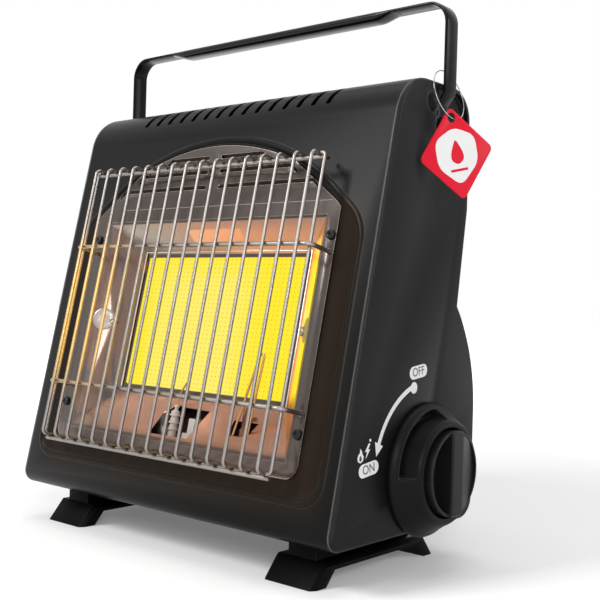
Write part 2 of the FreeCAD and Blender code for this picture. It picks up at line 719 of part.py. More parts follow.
def pan_screw(length):
    """A cross-head screw along +Y, its head's underside at the origin."""
    head = Part.makeCylinder(SCREW_HEAD_R, SCREW_HEAD_H, V(0, -SCREW_HEAD_H, 0), V(0, 1, 0))
    rim = [e for e in head.Edges if abs(e.BoundBox.YMin + SCREW_HEAD_H) < 1e-3 and e.BoundBox.YMax < -1]
    head = head.makeFillet(0.9, rim)
    cross = box(-1.5, 1.5, -SCREW_HEAD_H - 1, -0.9, -0.35, 0.35).fuse(box(-0.35, 0.35, -SCREW_HEAD_H - 1, -0.9, -1.5, 1.5))
    return head.cut(cross).fuse(Part.makeCylinder(SCREW_R, length, V(0, 0, 0), V(0, 1, 0)))


def reflector_screws():
    screws = []
    for sign in (-1, 1):
        for t in FRAME_SCREW_T:
            screw = pan_screw(SCREW_LEN)
            screw.translate(V(sign * FIX_X, -STEEL, t))
            screws.append(lean(screw))
    return compound(screws)


def dish_screws():
    centre, normal = wall_pads()
    screw = pan_screw(6.0)
    turn = V(0, 1, 0).getAngle(normal) * 180 / pi
    screw.rotate(V(0, 0, 0), V(0, 0, 1), -turn)
    screw.translate(centre)
    return compound([lean(screw), lean(mirrored(screw))])


# Guard
def guard_front_wires():
    wires = []
    for i in range(WIRES):
        x = (i - (WIRES - 1) / 2) * WIRE_PITCH
        points = [(x, -GUARD_LOW_OUT, GUARD_T0), (x, -GUARD_OUT, GUARD_T0),
                  (x, -GUARD_OUT, GUARD_T1), (x, -GUARD_OUT + WIRE_BACK_TOP, GUARD_T1)]
        wires.append(lean(wire(points, [WIRE_BEND, WIRE_BEND], WIRE_R)))
    return compound(wires)


def guard_side_wires():
    wires = []
    inner = SIDE_WIRE_X - 2.8
    for sign in (-1, 1):
        points = [(sign * inner, -SIDE_WIRE_OUT, GUARD_T0), (sign * SIDE_WIRE_X, -SIDE_WIRE_OUT, GUARD_T0),
                  (sign * SIDE_WIRE_X, -SIDE_WIRE_OUT, GUARD_T1), (sign * inner, -SIDE_WIRE_OUT, GUARD_T1)]
        wires.append(lean(wire(points, [2.2, 2.2], WIRE_R)))
    return compound(wires)


def guard_rails():
    end = SIDE_WIRE_X - WIRE_R - 0.2
    rails = []
    for t in (GUARD_T0 - RAIL_STEP, GUARD_T1 - RAIL_STEP):
        rails.append(lean(rod_x(-end, end, -RAIL_OUT, t, RAIL_R)))
    return compound(rails)


def guard_cross_wires():
    wires = []
    for t in CROSS_T:
        points = [(-FIX_X, CROSS_IN, t), (-FIX_X, -CROSS_OUT, t), (FIX_X, -CROSS_OUT, t), (FIX_X, CROSS_IN, t)]
        wires.append(lean(wire(points, [CROSS_BEND, CROSS_BEND], CROSS_R)))
    return compound(wires)


# Burner
def ceramic_tile():
    tile = box(-TILE_HALF, TILE_HALF, TILE_FACE, TILE_FACE + TILE_D, TILE_T0, TILE_T0 + TILE_H)
    return lean(tile)


def burner_box(grow, d0, d1):
    half = TILE_HALF + BURNER_MARGIN + grow
    return box(-half, half, d0, d1, TILE_T0 - BURNER_MARGIN - grow, TILE_T0 + TILE_H + BURNER_MARGIN + grow)


def tile_gasket():
    d0 = DISH_DEPTH + STEEL
    ring = burner_box(-BURNER_WALL - 0.1, d0, d0 + GASKET_D)
    gap = 0.1
    hole = box(-TILE_HALF - gap, TILE_HALF + gap, d0 - 1, d0 + 20, TILE_T0 - gap, TILE_T0 + TILE_H + gap)
    return lean(ring.cut(hole))


def burner_housing():
    d0 = DISH_DEPTH + STEEL
    shell = burner_box(0, d0, BURNER_D1)
    shell = shell.cut(burner_box(-BURNER_WALL, d0 - 1, BURNER_D1 - BURNER_WALL))
    centre, normal = wall_pads()
    along = V(-normal.y, normal.x, 0)
    base = centre + normal * (STEEL * 1.15 + 0.05)
    inner = TILE_HALF + BURNER_MARGIN
    reach = (base.x - inner + BURNER_WALL / 2) / abs(along.x)
    ends = [base - along * 7, base + along * reach]
    if ends[1].x > inner:
        ends = [base + along * 7, base - along * reach]
    loop = [ends[0], ends[1], ends[1] + normal * BURNER_WALL, ends[0] + normal * BURNER_WALL]
    loop = [V(p.x, p.y, EAR_T - EAR_L / 2) for p in loop]
    ear = Part.Face(Part.makePolygon(loop + loop[:1])).extrude(V(0, 0, EAR_L))
    ear = ear.cut(Part.makeCylinder(SCREW_R + SCREW_CLEAR / 2, 12, centre - normal * 2, normal))
    ear = ear.cut(funnel(STEEL * 1.15 + 0.02, -STEEL, DISH_DEPTH + STEEL))
    shell = shell.fuse(ear).fuse(mirrored(ear))
    shell = lean(shell)
    return shell.cut(rod_z(TUBE_X1, TUBE_Y, TUBE_Z, 90, TUBE_R + 0.4))


def mixing_tube():
    top = sloped(0, 33, DISH_BACK_T0 + BURNER_WALL + 1.5).z
    points = [(TUBE_X0, TUBE_Y, TUBE_Z), (TUBE_X1, TUBE_Y, TUBE_Z), (TUBE_X1, TUBE_Y, top)]
    outer = wire(points, [TUBE_BEND], TUBE_R)
    inner_points = [(TUBE_X0 - 2, TUBE_Y, TUBE_Z), points[1], (TUBE_X1, TUBE_Y, top + 0.5)]
    tube = outer.cut(wire(inner_points, [TUBE_BEND], TUBE_R - TUBE_WALL))
    x1 = TUBE_X0 - 4
    for sign in (-1, 1):
        y0, y1 = (TUBE_Y + 4, TUBE_Y + 20) if sign > 0 else (TUBE_Y - 20, TUBE_Y - 4)
        tube = tube.cut(box(x1 - WINDOW_L, x1, y0, y1, TUBE_Z - 6, TUBE_Z + 6))
    return tube.cut(rod_x(TUBE_X0 - 5, TUBE_X0 + 1, TUBE_Y, TUBE_Z, INJECTOR_R + 0.05))


def injector():
    nozzle = Part.makeCone(1.2, INJECTOR_R, 4, V(TUBE_X0 - 8, TUBE_Y, TUBE_Z), V(1, 0, 0))
    thread = rod_x(TUBE_X0 - 4, TUBE_X0 + 0.02, TUBE_Y, TUBE_Z, INJECTOR_R)
    points = [(TUBE_Y + 5.2 * cos(radians(60 * k)), TUBE_Z + 5.2 * sin(radians(60 * k))) for k in range(6)]
    nut = prism_x(points, TUBE_X0, TUBE_X0 + 8)
    body = nozzle.fuse(thread).fuse(nut)
    return body.cut(rod_x(TUBE_X0 - 9, TUBE_X0 + 4, TUBE_Y, TUBE_Z, 0.5))


def valve_front():
    return KNOB_Y - VALVE_W / 2


def gas_pipe():
    points = [(OUTLET_X, valve_front(), TUBE_Z), (OUTLET_X, TUBE_Y, TUBE_Z), (TUBE_X0 + 8, TUBE_Y, TUBE_Z)]
    return wire(points, [8.0], PIPE_R)


def valve_body():
    z0 = KNOB_Z - VALVE_H / 2
    body = box(VALVE_X0, VALVE_X1, KNOB_Y - VALVE_W / 2, KNOB_Y + VALVE_W / 2, z0, z0 + VALVE_H)
    body = body.makeFillet(2.0, [e for e in body.Edges if e.BoundBox.XMax - e.BoundBox.XMin > 5])
    neck = rod_x(VALVE_X1, SHELL_HALF + PANEL_DEPTH - PANEL_WALL, KNOB_Y, KNOB_Z, 8.5)
    body = body.fuse(neck)
    return body.cut(rod_x(STEM_X0 - 0.5, SIDE_OUT, KNOB_Y, KNOB_Z, STEM_R + STEM_CLEAR))


def regulator():
    can = rod_x(REG_X0, VALVE_X0, CART_Y, CART_Z, REG_R)
    edges = [e for e in can.Edges if e.BoundBox.XMax - e.BoundBox.XMin < 1e-6]
    can = can.makeFillet(1.5, edges[:1])
    return can


def cartridge_collar():
    ring = rod_x(COLLAR_X0, REG_X0, CART_Y, CART_Z, COLLAR_R)
    ring = ring.cut(rod_x(COLLAR_X0 - 1, REG_X0 - 3, CART_Y, CART_Z, COLLAR_BORE))
    ring = ring.cut(rod_x(COLLAR_X0 - 1, REG_X0 + 1, CART_Y, CART_Z, 5.0))
    notch = box(COLLAR_X0 - 1, COLLAR_X0 + 4, CART_Y - 3, CART_Y + 3, CART_Z + 10, CART_Z + 30)
    return ring.cut(notch)


def piezo_igniter():
    z0 = KNOB_Z + VALVE_H / 2
    block = box(VALVE_X0, VALVE_X1, KNOB_Y - 10, KNOB_Y + 10, z0, z0 + PIEZO_H)
    tower = Part.makeCylinder(2.6, 4.0, V(OUTLET_X - 3, KNOB_Y - 14, z0 + 8), V(0, 1, 0))
    return block.makeFillet(1.5, [e for e in block.Edges if e.BoundBox.XMax - e.BoundBox.XMin > 5]).fuse(tower)


def valve_stem():
    stem = rod_x(STEM_X0, STEM_X1, KNOB_Y, KNOB_Z, STEM_R)
    flat = box(PANEL_X + KNOB_BASE, STEM_X1 + 1, KNOB_Y + STEM_R - 1.2, KNOB_Y + 10, KNOB_Z - 10, KNOB_Z + 10)
    return stem.cut(flat)




def electrode_bracket():
    top = TILE_T0 - BURNER_MARGIN
    upright = box(-24, 64, BRACKET_D, BRACKET_D + 1.2, SHELF_T, top)
    shelf = box(-24, 64, 6, BRACKET_D + 1.2, SHELF_T, SHELF_T + 1.2)
    plate = upright.fuse(shelf)
    for (x, d), r in ((ELECTRODE, 3.55), (SENSOR, 2.55)):
        plate = plate.cut(Part.makeCylinder(r, 5, V(x, d, SHELF_T - 2), V(0, 0, 1)))
    for x, d in LOOP_FEET:
        plate = plate.cut(Part.makeCylinder(0.75, 5, V(x, d, SHELF_T - 2), V(0, 0, 1)))
    plate = plate.cut(box(1.5, 10.5, 9.5, 17.5, SHELF_T - 2, SHELF_T + 3))
    return lean(plate)


def spark_electrode():
    x, d = ELECTRODE
    low = Part.makeCylinder(3.5, 14, V(x, d, 28), V(0, 0, 1))
    high = Part.makeCylinder(2.6, 16, V(x, d, 42), V(0, 0, 1))
    pin = wire([(x, d, 57), (x, d, 66), (x + 6, d - 1.5, 74)], [3.0], 0.8)
    return lean(low.fuse(high).fuse(pin))


def electrode_block():
    block = box(1.6, 10.4, 9.6, 17.4, 31, 54)
    return lean(block.makeFillet(1.2, [e for e in block.Edges if e.BoundBox.ZMax - e.BoundBox.ZMin > 5]))


def flame_sensor():
    x, d = SENSOR
    shaft = Part.makeCylinder(2.5, 22, V(x, d, 30), V(0, 0, 1))
    tip = Part.makeCylinder(1.6, 12, V(x, d, 52), V(0, 0, 1))
    return lean(shaft.fuse(tip))


def ignition_loop():
    (xa, da), (xb, db) = LOOP_FEET
    x, d, t = LOOP_TOP
    points = [(xa, da, SHELF_T - 1), (xa, da, 48), (x - 1.6, d, t), (x + 1.4, d, t), (xb, db, 50), (xb, db, SHELF_T - 1)]
    return lean(wire(points, [6.0, 1.4, 1.4, 6.0], 0.7))


def ignition_lead():
    end = sloped(ELECTRODE[0], ELECTRODE[1], 28)
    way = V(0, SLOPE_SIN, SLOPE_COS)
    below = end - way * 12
    start = V(OUTLET_X - 3, KNOB_Y - 14, KNOB_Z + VALVE_H / 2 + 8)
    points = [tuple(start), (start.x, 44, start.z), (104, 27, 40), (92, 25, 30.5), (16, 22, 30.5), tuple(below), tuple(end)]
    return wire(points, [9, 9, 7, 10, 5], LEAD_R)


def sensor_lead():
    start = sloped(SENSOR[0], SENSOR[1], 30)
    way = V(0, SLOPE_SIN, SLOPE_COS)
    below = start - way * 10
    points = [tuple(start), tuple(below), (58, below.y + 1, 37), (110, 16, 37), (119, 28, 37), (119, valve_front(), 47)]
    return wire(points, [4, 8, 7, 8], SENSE_R)


# Cartridge bay
def heat_shield():
    upper = [V(0, y, z) for y, z in SHIELD_PATH]
    lower = [p + V(0, SHIELD_T, 0) for p in upper[:-1]] + [upper[-1] + V(0, 0, -SHIELD_T)]
    loop = upper + lower[::-1]
    sheet = Part.Face(Part.makePolygon(loop + loop[:1])).extrude(V(2 * SHIELD_HALF, 0, 0))
    sheet.translate(V(-SHIELD_HALF, 0, 0))
    hole = Part.makeCylinder(PIPE_R + 1.5, 12, V(OUTLET_X, 55, TUBE_Z), V(0, 1, 0))
    lead_z = KNOB_Z + VALVE_H / 2 + 8
    lead_hole = Part.makeCylinder(LEAD_R + 1.0, 14, V(OUTLET_X - 3, 55, lead_z), V(0, 1, 0))
    sense_hole = Part.makeCylinder(SENSE_R + 2.0, 14, V(119, 55, 44.6), V(0, 1, 0))
    return sheet.cut(compound([hole, lead_hole, sense_hole]))


def cartridge_cradle():
    r = CART_R + CART_CLEAR
    trough = rod_x(CRADLE_X0, CRADLE_X1, CART_Y, CART_Z, r + CRADLE_T)
    trough = trough.cut(rod_x(CRADLE_X0 - 1, CRADLE_X1 + 1, CART_Y, CART_Z, r))
    return trough.common(box(-200, 200, CART_Y - 40, CART_Y + 27, 0, CART_Z - 16))


def knob_shroud():
    """A domed ring on the side panel, with a sunk well for the knob and a pocket from 9 to 12 o'clock."""
    profile = [(0, 0), (SHROUD_R, 0), (SHROUD_R, 1.6)]
    skirt = [(SHROUD_R - 0.5, 2.6), (33.6, 5.4), (30.2, 10.4), (28.4, 13.6)]
    crest = [(CREST_R, SHROUD_H - 0.2), (CREST_R - 0.8, SHROUD_H), (WELL_R + 0.7, SHROUD_H - 0.2), (WELL_R, SHROUD_H - 1.0)]
    inside = [(WELL_R, WELL_FLOOR), (PANEL_HOLE_R, WELL_FLOOR), (PANEL_HOLE_R, 0)]
    loop = [V(PANEL_X + h, KNOB_Y + r, KNOB_Z) for r, h in profile[1:] + skirt + crest + inside]
    face = Part.Face(Part.makePolygon(loop + loop[:1]))
    dome = face.revolve(V(PANEL_X, KNOB_Y, KNOB_Z), V(1, 0, 0), 360)
    ring = rod_x(PANEL_X + POCKET_H0, 160, KNOB_Y, KNOB_Z, POCKET_R1)
    ring = ring.cut(rod_x(PANEL_X, 161, KNOB_Y, KNOB_Z, POCKET_R0))
    return dome.cut(ring.common(box(SIDE_IN, SIDE_OUT + 60, KNOB_Y - 60, KNOB_Y, KNOB_Z, KNOB_Z + 60)))


def control_knob():
    x0 = PANEL_X + KNOB_BASE
    x1 = PANEL_X + KNOB_H
    disc = rod_x(x0, x1, KNOB_Y, KNOB_Z, KNOB_R)
    disc = disc.makeFillet(0.8, [e for e in disc.Edges if abs(e.BoundBox.XMin - x1) < 1e-6])
    well = rod_x(PANEL_X + POCKET_FLOOR, x1 + 5, KNOB_Y, KNOB_Z, KNOB_R - RIM_WALL)
    half = RIDGE_W / 2
    ridge = box(x0, x1 + RIDGE_RISE, KNOB_Y - half, KNOB_Y + half, KNOB_Z - 40, KNOB_Z + 40)
    ridge = ridge.common(rod_x(x0, x1 + RIDGE_RISE, KNOB_Y, KNOB_Z, KNOB_R - 0.2))
    tops = [e for e in ridge.Edges if abs(e.BoundBox.XMin - x1 - RIDGE_RISE) < 1e-6]
    ridge = ridge.makeFillet(1.2, tops)
    rim_in = KNOB_R - RIM_WALL - FLANK_GROOVE
    slope = [(x0, 0), (x1 + RIDGE_RISE - FLANK_STEP, 0), (x1 + RIDGE_RISE - FLANK_STEP, half), (x1 - FLANK_DROP, rim_in),
             (x0, rim_in)]
    loop = [V(x, KNOB_Y + y, KNOB_Z - 40) for x, y in slope]
    flank = Part.Face(Part.makePolygon(loop + loop[:1])).extrude(V(0, 0, 80))
    flank = flank.common(rod_x(x0, x1 + RIDGE_RISE, KNOB_Y, KNOB_Z, rim_in))
    knob = disc.cut(well).fuse(ridge).fuse(flank)
    bore = rod_x(x0 - 1, STEM_X1 + 0.2, KNOB_Y, KNOB_Z, STEM_R + 0.02)
    key = box(x0 - 2, STEM_X1 + 1, KNOB_Y + STEM_R - 1.18, KNOB_Y + 10, KNOB_Z - 10, KNOB_Z + 10)
    return knob.cut(bore.cut(key))


# Cartridge cover
def cartridge_door():
    door = casing_sheet(0).common(box(-DOOR_HALF, DOOR_HALF, 105, 200, DOOR_Z0, DOOR_Z1))
    for sign in (-1, 1):
        x0 = KNUCKLE_MID if sign > 0 else -KNUCKLE_OUT
        x1 = KNUCKLE_OUT if sign > 0 else -KNUCKLE_MID
        door = door.fuse(knuckle(x0, x1, HINGE_Z, DOOR_Z0 + 3, 130.6, 133.0))
    slot = box(-LATCH_STEM_W / 2 - LATCH_CLEAR, LATCH_STEM_W / 2 + LATCH_CLEAR, -8, 8,
               -LATCH_STEM_H / 2 - LATCH_TRAVEL - LATCH_CLEAR, LATCH_STEM_H / 2 + LATCH_CLEAR)
    return door.cut(on_bulge(slot))


def on_bulge(shape):
    """Takes a shape drawn as (across, outwards, up the sheet) to the latch's place on the cover."""
    shape.rotate(V(0, 0, 0), V(1, 0, 0), LATCH_ANGLE)
    a = radians(LATCH_ANGLE)
    shape.translate(V(0, REAR_LOW_Y - BULGE_R + BULGE_R * cos(a), BULGE_Z + BULGE_R * sin(a)))
    return shape


def door_latch():
    pad = box(-LATCH_W / 2, LATCH_W / 2, LATCH_CLEAR + 0.4, 3.6, -LATCH_H / 2, LATCH_H / 2)
    pad = pad.makeFillet(0.9, [e for e in pad.Edges if e.BoundBox.YMin > 3.5])
    for i in range(-1, 2):
        pad = pad.cut(box(-LATCH_W / 2 + 3, LATCH_W / 2 - 3, 3.0, 5, 3 * i - 0.6, 3 * i + 0.6))
    back = -TONGUE_IN - TONGUE_T
    stem = box(-LATCH_STEM_W / 2, LATCH_STEM_W / 2, back, 1.0, -LATCH_STEM_H / 2, LATCH_STEM_H / 2)
    tongue = box(-TONGUE_W / 2, TONGUE_W / 2, back, -TONGUE_IN, -LATCH_STEM_H / 2, TONGUE_TOP)
    return on_bulge(pad.fuse(stem).fuse(tongue))


def hinge_pins():
    x0 = KNUCKLE_IN - 1
    x1 = KNUCKLE_OUT + 1
    return compound([rod_x(x0, x1, HINGE_Y, HINGE_Z, PIN_R), rod_x(-x1, -x0, HINGE_Y, HINGE_Z, PIN_R)])


# Handle
def handle_strap():
    y0 = PIVOT_Y - STRAP_W / 2
    y1 = PIVOT_Y + STRAP_W / 2
    bend = STRAP_CORNER_R
    ear = rod_x(EAR_X0, EAR_X1, PIVOT_Y, PIVOT_Z, EAR_R).fuse(box(EAR_X0, EAR_X1, y0, y1, PIVOT_Z, JOGGLE_Z0))
    loop = [V(EAR_X0, y0, JOGGLE_Z0), V(EAR_X1, y0, JOGGLE_Z0), V(ARM_OUT, y0, JOGGLE_Z1), V(ARM_IN, y0, JOGGLE_Z1)]
    joggle = Part.Face(Part.makePolygon(loop + loop[:1])).extrude(V(0, STRAP_W, 0))
    arm = box(ARM_IN, ARM_OUT, y0, y1, JOGGLE_Z1, BAR_TOP_Z - bend)
    centre = V(ARM_OUT - bend, y0, BAR_TOP_Z - bend)
    corner = Part.makeCylinder(bend, STRAP_W, centre, V(0, 1, 0)).cut(Part.makeCylinder(bend - STRAP_T, STRAP_W, centre, V(0, 1, 0)))
    corner = corner.common(box(centre.x, ARM_OUT + 1, y0, y1, centre.z, BAR_TOP_Z + 1))
    side = ear.fuse(joggle).fuse(arm).fuse(corner)
    side = side.cut(rod_x(SIDE_IN, SIDE_OUT, PIVOT_Y, PIVOT_Z, PIVOT_R + PIVOT_CLEAR))
    bar = box(-centre.x, centre.x, y0, y1, BAR_TOP_Z - STRAP_T, BAR_TOP_Z)
    return side.fuse(mirrored(side)).fuse(bar).removeSplitter()


def handle_grip():
    z1 = BAR_TOP_Z + GRIP_RISE
    grip = box(-GRIP_HALF, GRIP_HALF, PIVOT_Y - GRIP_D / 2, PIVOT_Y + GRIP_D / 2, z1 - GRIP_H, z1)
    grip = grip.makeFillet(GRIP_R, [e for e in grip.Edges if e.BoundBox.XMax - e.BoundBox.XMin > 5])
    half = STRAP_W / 2 + 0.05
    return grip.cut(box(-200, 200, PIVOT_Y - half, PIVOT_Y + half, BAR_TOP_Z - STRAP_T - 0.05, BAR_TOP_Z + 0.05))


def pivot_screws():
    x0 = PANEL_X - RECESS_DEPTH - PANEL_WALL - 4
    head_x = EAR_X1 + 0.2
    head = rod_x(head_x, head_x + PIVOT_HEAD_H, PIVOT_Y, PIVOT_Z, PIVOT_HEAD_R)
    head = head.makeFillet(0.8, [e for e in head.Edges if abs(e.BoundBox.XMin - head_x - PIVOT_HEAD_H) < 1e-6])
    cross = box(head_x + 0.9, head_x + 10, PIVOT_Y - 2.4, PIVOT_Y + 2.4, PIVOT_Z - 0.5, PIVOT_Z + 0.5)
    cross = cross.fuse(box(head_x + 0.9, head_x + 10, PIVOT_Y - 0.5, PIVOT_Y + 0.5, PIVOT_Z - 2.4, PIVOT_Z + 2.4))
    nut_x = PANEL_X - RECESS_DEPTH - PANEL_WALL
    nut = prism_x([(PIVOT_Y + 5 * cos(radians(60 * k)), PIVOT_Z + 5 * sin(radians(60 * k))) for k in range(6)],
                  nut_x - 3, nut_x)
    screw = head.cut(cross).fuse(rod_x(x0, head_x, PIVOT_Y, PIVOT_Z, PIVOT_R)).fuse(nut)
    return compound([screw, mirrored(screw)])


# Tag
def tag_axes():
    """The tag's normal, and the directions of its two upper edges away from the top corner."""
    turn = radians(TAG_TURN)
    normal = V(cos(turn), -sin(turn), 0)
    level = V(sin(turn), cos(turn), 0)
    roll = radians(TAG_ROLL)
    right = level * cos(roll) + V(0, 0, 1) * sin(roll)
    left = level * sin(roll) - V(0, 0, 1) * cos(roll)
    return normal, right, left


def tag_hole():
    normal, right, left = tag_axes()
    return V(*TAG_TOP) + (right + left).normalize() * TAG_HOLE_IN


def hang_tag():
    normal, right, left = tag_axes()
    top = V(*TAG_TOP)
    flat = [(0, 0), (TAG_SIDE, 0), (TAG_SIDE, TAG_SIDE), (0, TAG_SIDE)]
    outline = rounded_outline(flat, [TAG_R] * 4, lambda p: top + right * p.x + left * p.y)
    card = Part.Face(outline).extrude(normal * TAG_T)
    card.translate(normal * (-TAG_T / 2))
    return card.cut(Part.makeCylinder(TAG_HOLE_R, 6, tag_hole() - normal * 3, normal))


def ring_frame():
    """Centre, radius and normal of the wire ring."""
    bottom = tag_hole() + V(0, 0, RING_LIFT)
    top = V(PANEL_X + RING_WIRE + RING_CLEAR, RING_TOP_Y, RING_TOP_Z)
    centre = (top + bottom) * 0.5
    return centre, (top - bottom).Length / 2, V(0, 1, 0).cross(top - bottom).normalize()


def tag_ring():
    centre, radius, normal = ring_frame()
    return Part.makeTorus(radius, RING_WIRE, centre, normal)


NODES = [
    ("front_shell", front_shell()),
    ("rear_shell", rear_shell()),
    ("base_plate", base_plate()),
    ("right_side_panel", side_panel(True)),
    ("left_side_panel", side_panel(False)),
    ("rear_screws", rear_screws()),
    ("right_foot", foot(1)),
    ("left_foot", foot(-1)),
    ("foot_screws", foot_screws()),
    ("reflector", reflector()),
    ("reflector_screws", reflector_screws()),
    ("dish_screws", dish_screws()),
    ("guard_front_wires", guard_front_wires()),
    ("guard_side_wires", guard_side_wires()),
    ("guard_rails", guard_rails()),
    ("guard_cross_wires", guard_cross_wires()),
    ("ceramic_tile", ceramic_tile()),
    ("tile_gasket", tile_gasket()),
    ("burner_housing", burner_housing()),
    ("mixing_tube", mixing_tube()),
    ("injector", injector()),
    ("gas_pipe", gas_pipe()),
    ("valve_body", valve_body()),
    ("regulator", regulator()),
    ("cartridge_collar", cartridge_collar()),
    ("piezo_igniter", piezo_igniter()),
    ("valve_stem", valve_stem()),
    ("electrode_bracket", electrode_bracket()),
    ("spark_electrode", spark_electrode()),
    ("electrode_block", electrode_block()),
    ("flame_sensor", flame_sensor()),
    ("ignition_loop", ignition_loop()),
    ("ignition_lead", ignition_lead()),
    ("sensor_lead", sensor_lead()),
    ("heat_shield", heat_shield()),
    ("cartridge_cradle", cartridge_cradle()),
    ("knob_shroud", knob_shroud()),
    ("control_knob", control_knob()),
    ("cartridge_door", cartridge_door()),
    ("door_latch", door_latch()),
    ("door_hinge_pins", hinge_pins()),
    ("handle_strap", handle_strap()),
    ("handle_grip", handle_grip()),
    ("pivot_screws", pivot_screws()),
    ("hang_tag", hang_tag()),
    ("tag_ring", tag_ring()),
]

os.makedirs("parts", exist_ok=True)
for name, shape in NODES:
    placed = shape.copy()
    placed.translate(V(-ORIGIN_X, -ORIGIN_Y, 0))
    placed.exportStep("parts/" + name + ".step")
    b = placed.BoundBox
    print("%-20s solids %2d valid %s  x %.1f %.1f  y %.1f %.1f  z %.1f %.1f" % (
        name, len(placed.Solids), placed.isValid(), b.XMin, b.XMax, b.YMin, b.YMax, b.ZMin, b.ZMax))
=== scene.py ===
import json
from math import atan2, cos, degrees, hypot, pi, radians, sin, sqrt

import bmesh
import bpy
from mathutils import Matrix, Vector


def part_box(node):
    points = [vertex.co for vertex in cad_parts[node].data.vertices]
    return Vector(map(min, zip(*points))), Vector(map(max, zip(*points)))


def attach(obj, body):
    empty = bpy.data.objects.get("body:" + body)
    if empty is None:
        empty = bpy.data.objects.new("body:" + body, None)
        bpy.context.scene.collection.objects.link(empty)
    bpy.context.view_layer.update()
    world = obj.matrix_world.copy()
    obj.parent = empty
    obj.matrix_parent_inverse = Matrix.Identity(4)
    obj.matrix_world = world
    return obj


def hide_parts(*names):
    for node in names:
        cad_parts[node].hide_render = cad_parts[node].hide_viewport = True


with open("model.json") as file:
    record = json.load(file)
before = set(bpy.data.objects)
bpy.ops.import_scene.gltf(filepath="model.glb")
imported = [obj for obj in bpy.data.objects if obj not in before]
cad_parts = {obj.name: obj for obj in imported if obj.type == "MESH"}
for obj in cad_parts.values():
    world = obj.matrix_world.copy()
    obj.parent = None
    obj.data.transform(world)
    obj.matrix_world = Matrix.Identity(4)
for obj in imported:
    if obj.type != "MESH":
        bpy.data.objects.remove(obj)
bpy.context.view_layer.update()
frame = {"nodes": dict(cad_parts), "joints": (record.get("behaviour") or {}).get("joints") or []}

# The studio: the photograph's camera, a white surround, soft lamps overhead and a pale floor that keeps
# the heater's shadow. Nothing here belongs to the heater.
CAMERA_AT = Vector((0.413794, -0.435592, 0.14741))
CAMERA_TURN = radians(40.28)
CAMERA_DIP = radians(0.17)
CAMERA_ROLL = radians(1.66)
CAMERA_LENS = 59.41
SENSOR = 36.0
DIFFUSE_SURROUND = 0.42
FLOOR_HALF = 6.0
FLOOR_GREY = (0.9, 0.9, 0.9)
FLOOR_ROUGH = 0.85
FLOOR_LIFT = 0.15
FLOOR_SHADE_REACH = (0.45, 1.2)
WHITE = (1, 1, 1, 1)
# name, place, aim, side, power
LAMPS = [
    ("lamp_over", (0.0, 0.1, 1.5), (0.0, 0.0, 0.1), 1.2, 7.0),
    ("lamp_front_left", (-0.5, -1.15, 1.15), (0.05, 0.0, 0.25), 0.5, 15.0),
    ("lamp_front_right", (0.95, -1.0, 0.6), (0.05, 0.0, 0.15), 0.3, 5.0),
    ("lamp_behind", (1.2, 0.8, 0.7), (0.0, 0.0, 0.15), 0.4, 2.5),
]

level_right = Vector((cos(CAMERA_TURN), sin(CAMERA_TURN), 0))
level_ahead = Vector((-sin(CAMERA_TURN), cos(CAMERA_TURN), 0))
ahead = level_ahead * cos(CAMERA_DIP) - Vector((0, 0, sin(CAMERA_DIP)))
above = level_right.cross(ahead)
right = level_right * cos(CAMERA_ROLL) + above * sin(CAMERA_ROLL)
above = above * cos(CAMERA_ROLL) - level_right * sin(CAMERA_ROLL)
scene = bpy.context.scene
camera_data = bpy.data.cameras.new("photo_camera")
camera_data.lens = CAMERA_LENS
camera_data.sensor_width = SENSOR
camera = bpy.data.objects.new("photo_camera", camera_data)
camera.matrix_world = Matrix.Translation(CAMERA_AT) @ Matrix((right, above, -ahead)).transposed().to_4x4()
scene.collection.objects.link(camera)
scene.camera = camera
scene.view_settings.view_transform = "Standard"

for lamp_name, place, aim, side, power in LAMPS:
    lamp_data = bpy.data.lights.new(lamp_name, "AREA")
    lamp_data.size = side
    lamp_data.energy = power
    lamp = bpy.data.objects.new(lamp_name, lamp_data)
    lamp.location = place
    lamp.rotation_euler = (Vector(place) - Vector(aim)).to_track_quat("Z", "Y").to_euler()
    scene.collection.objects.link(lamp)


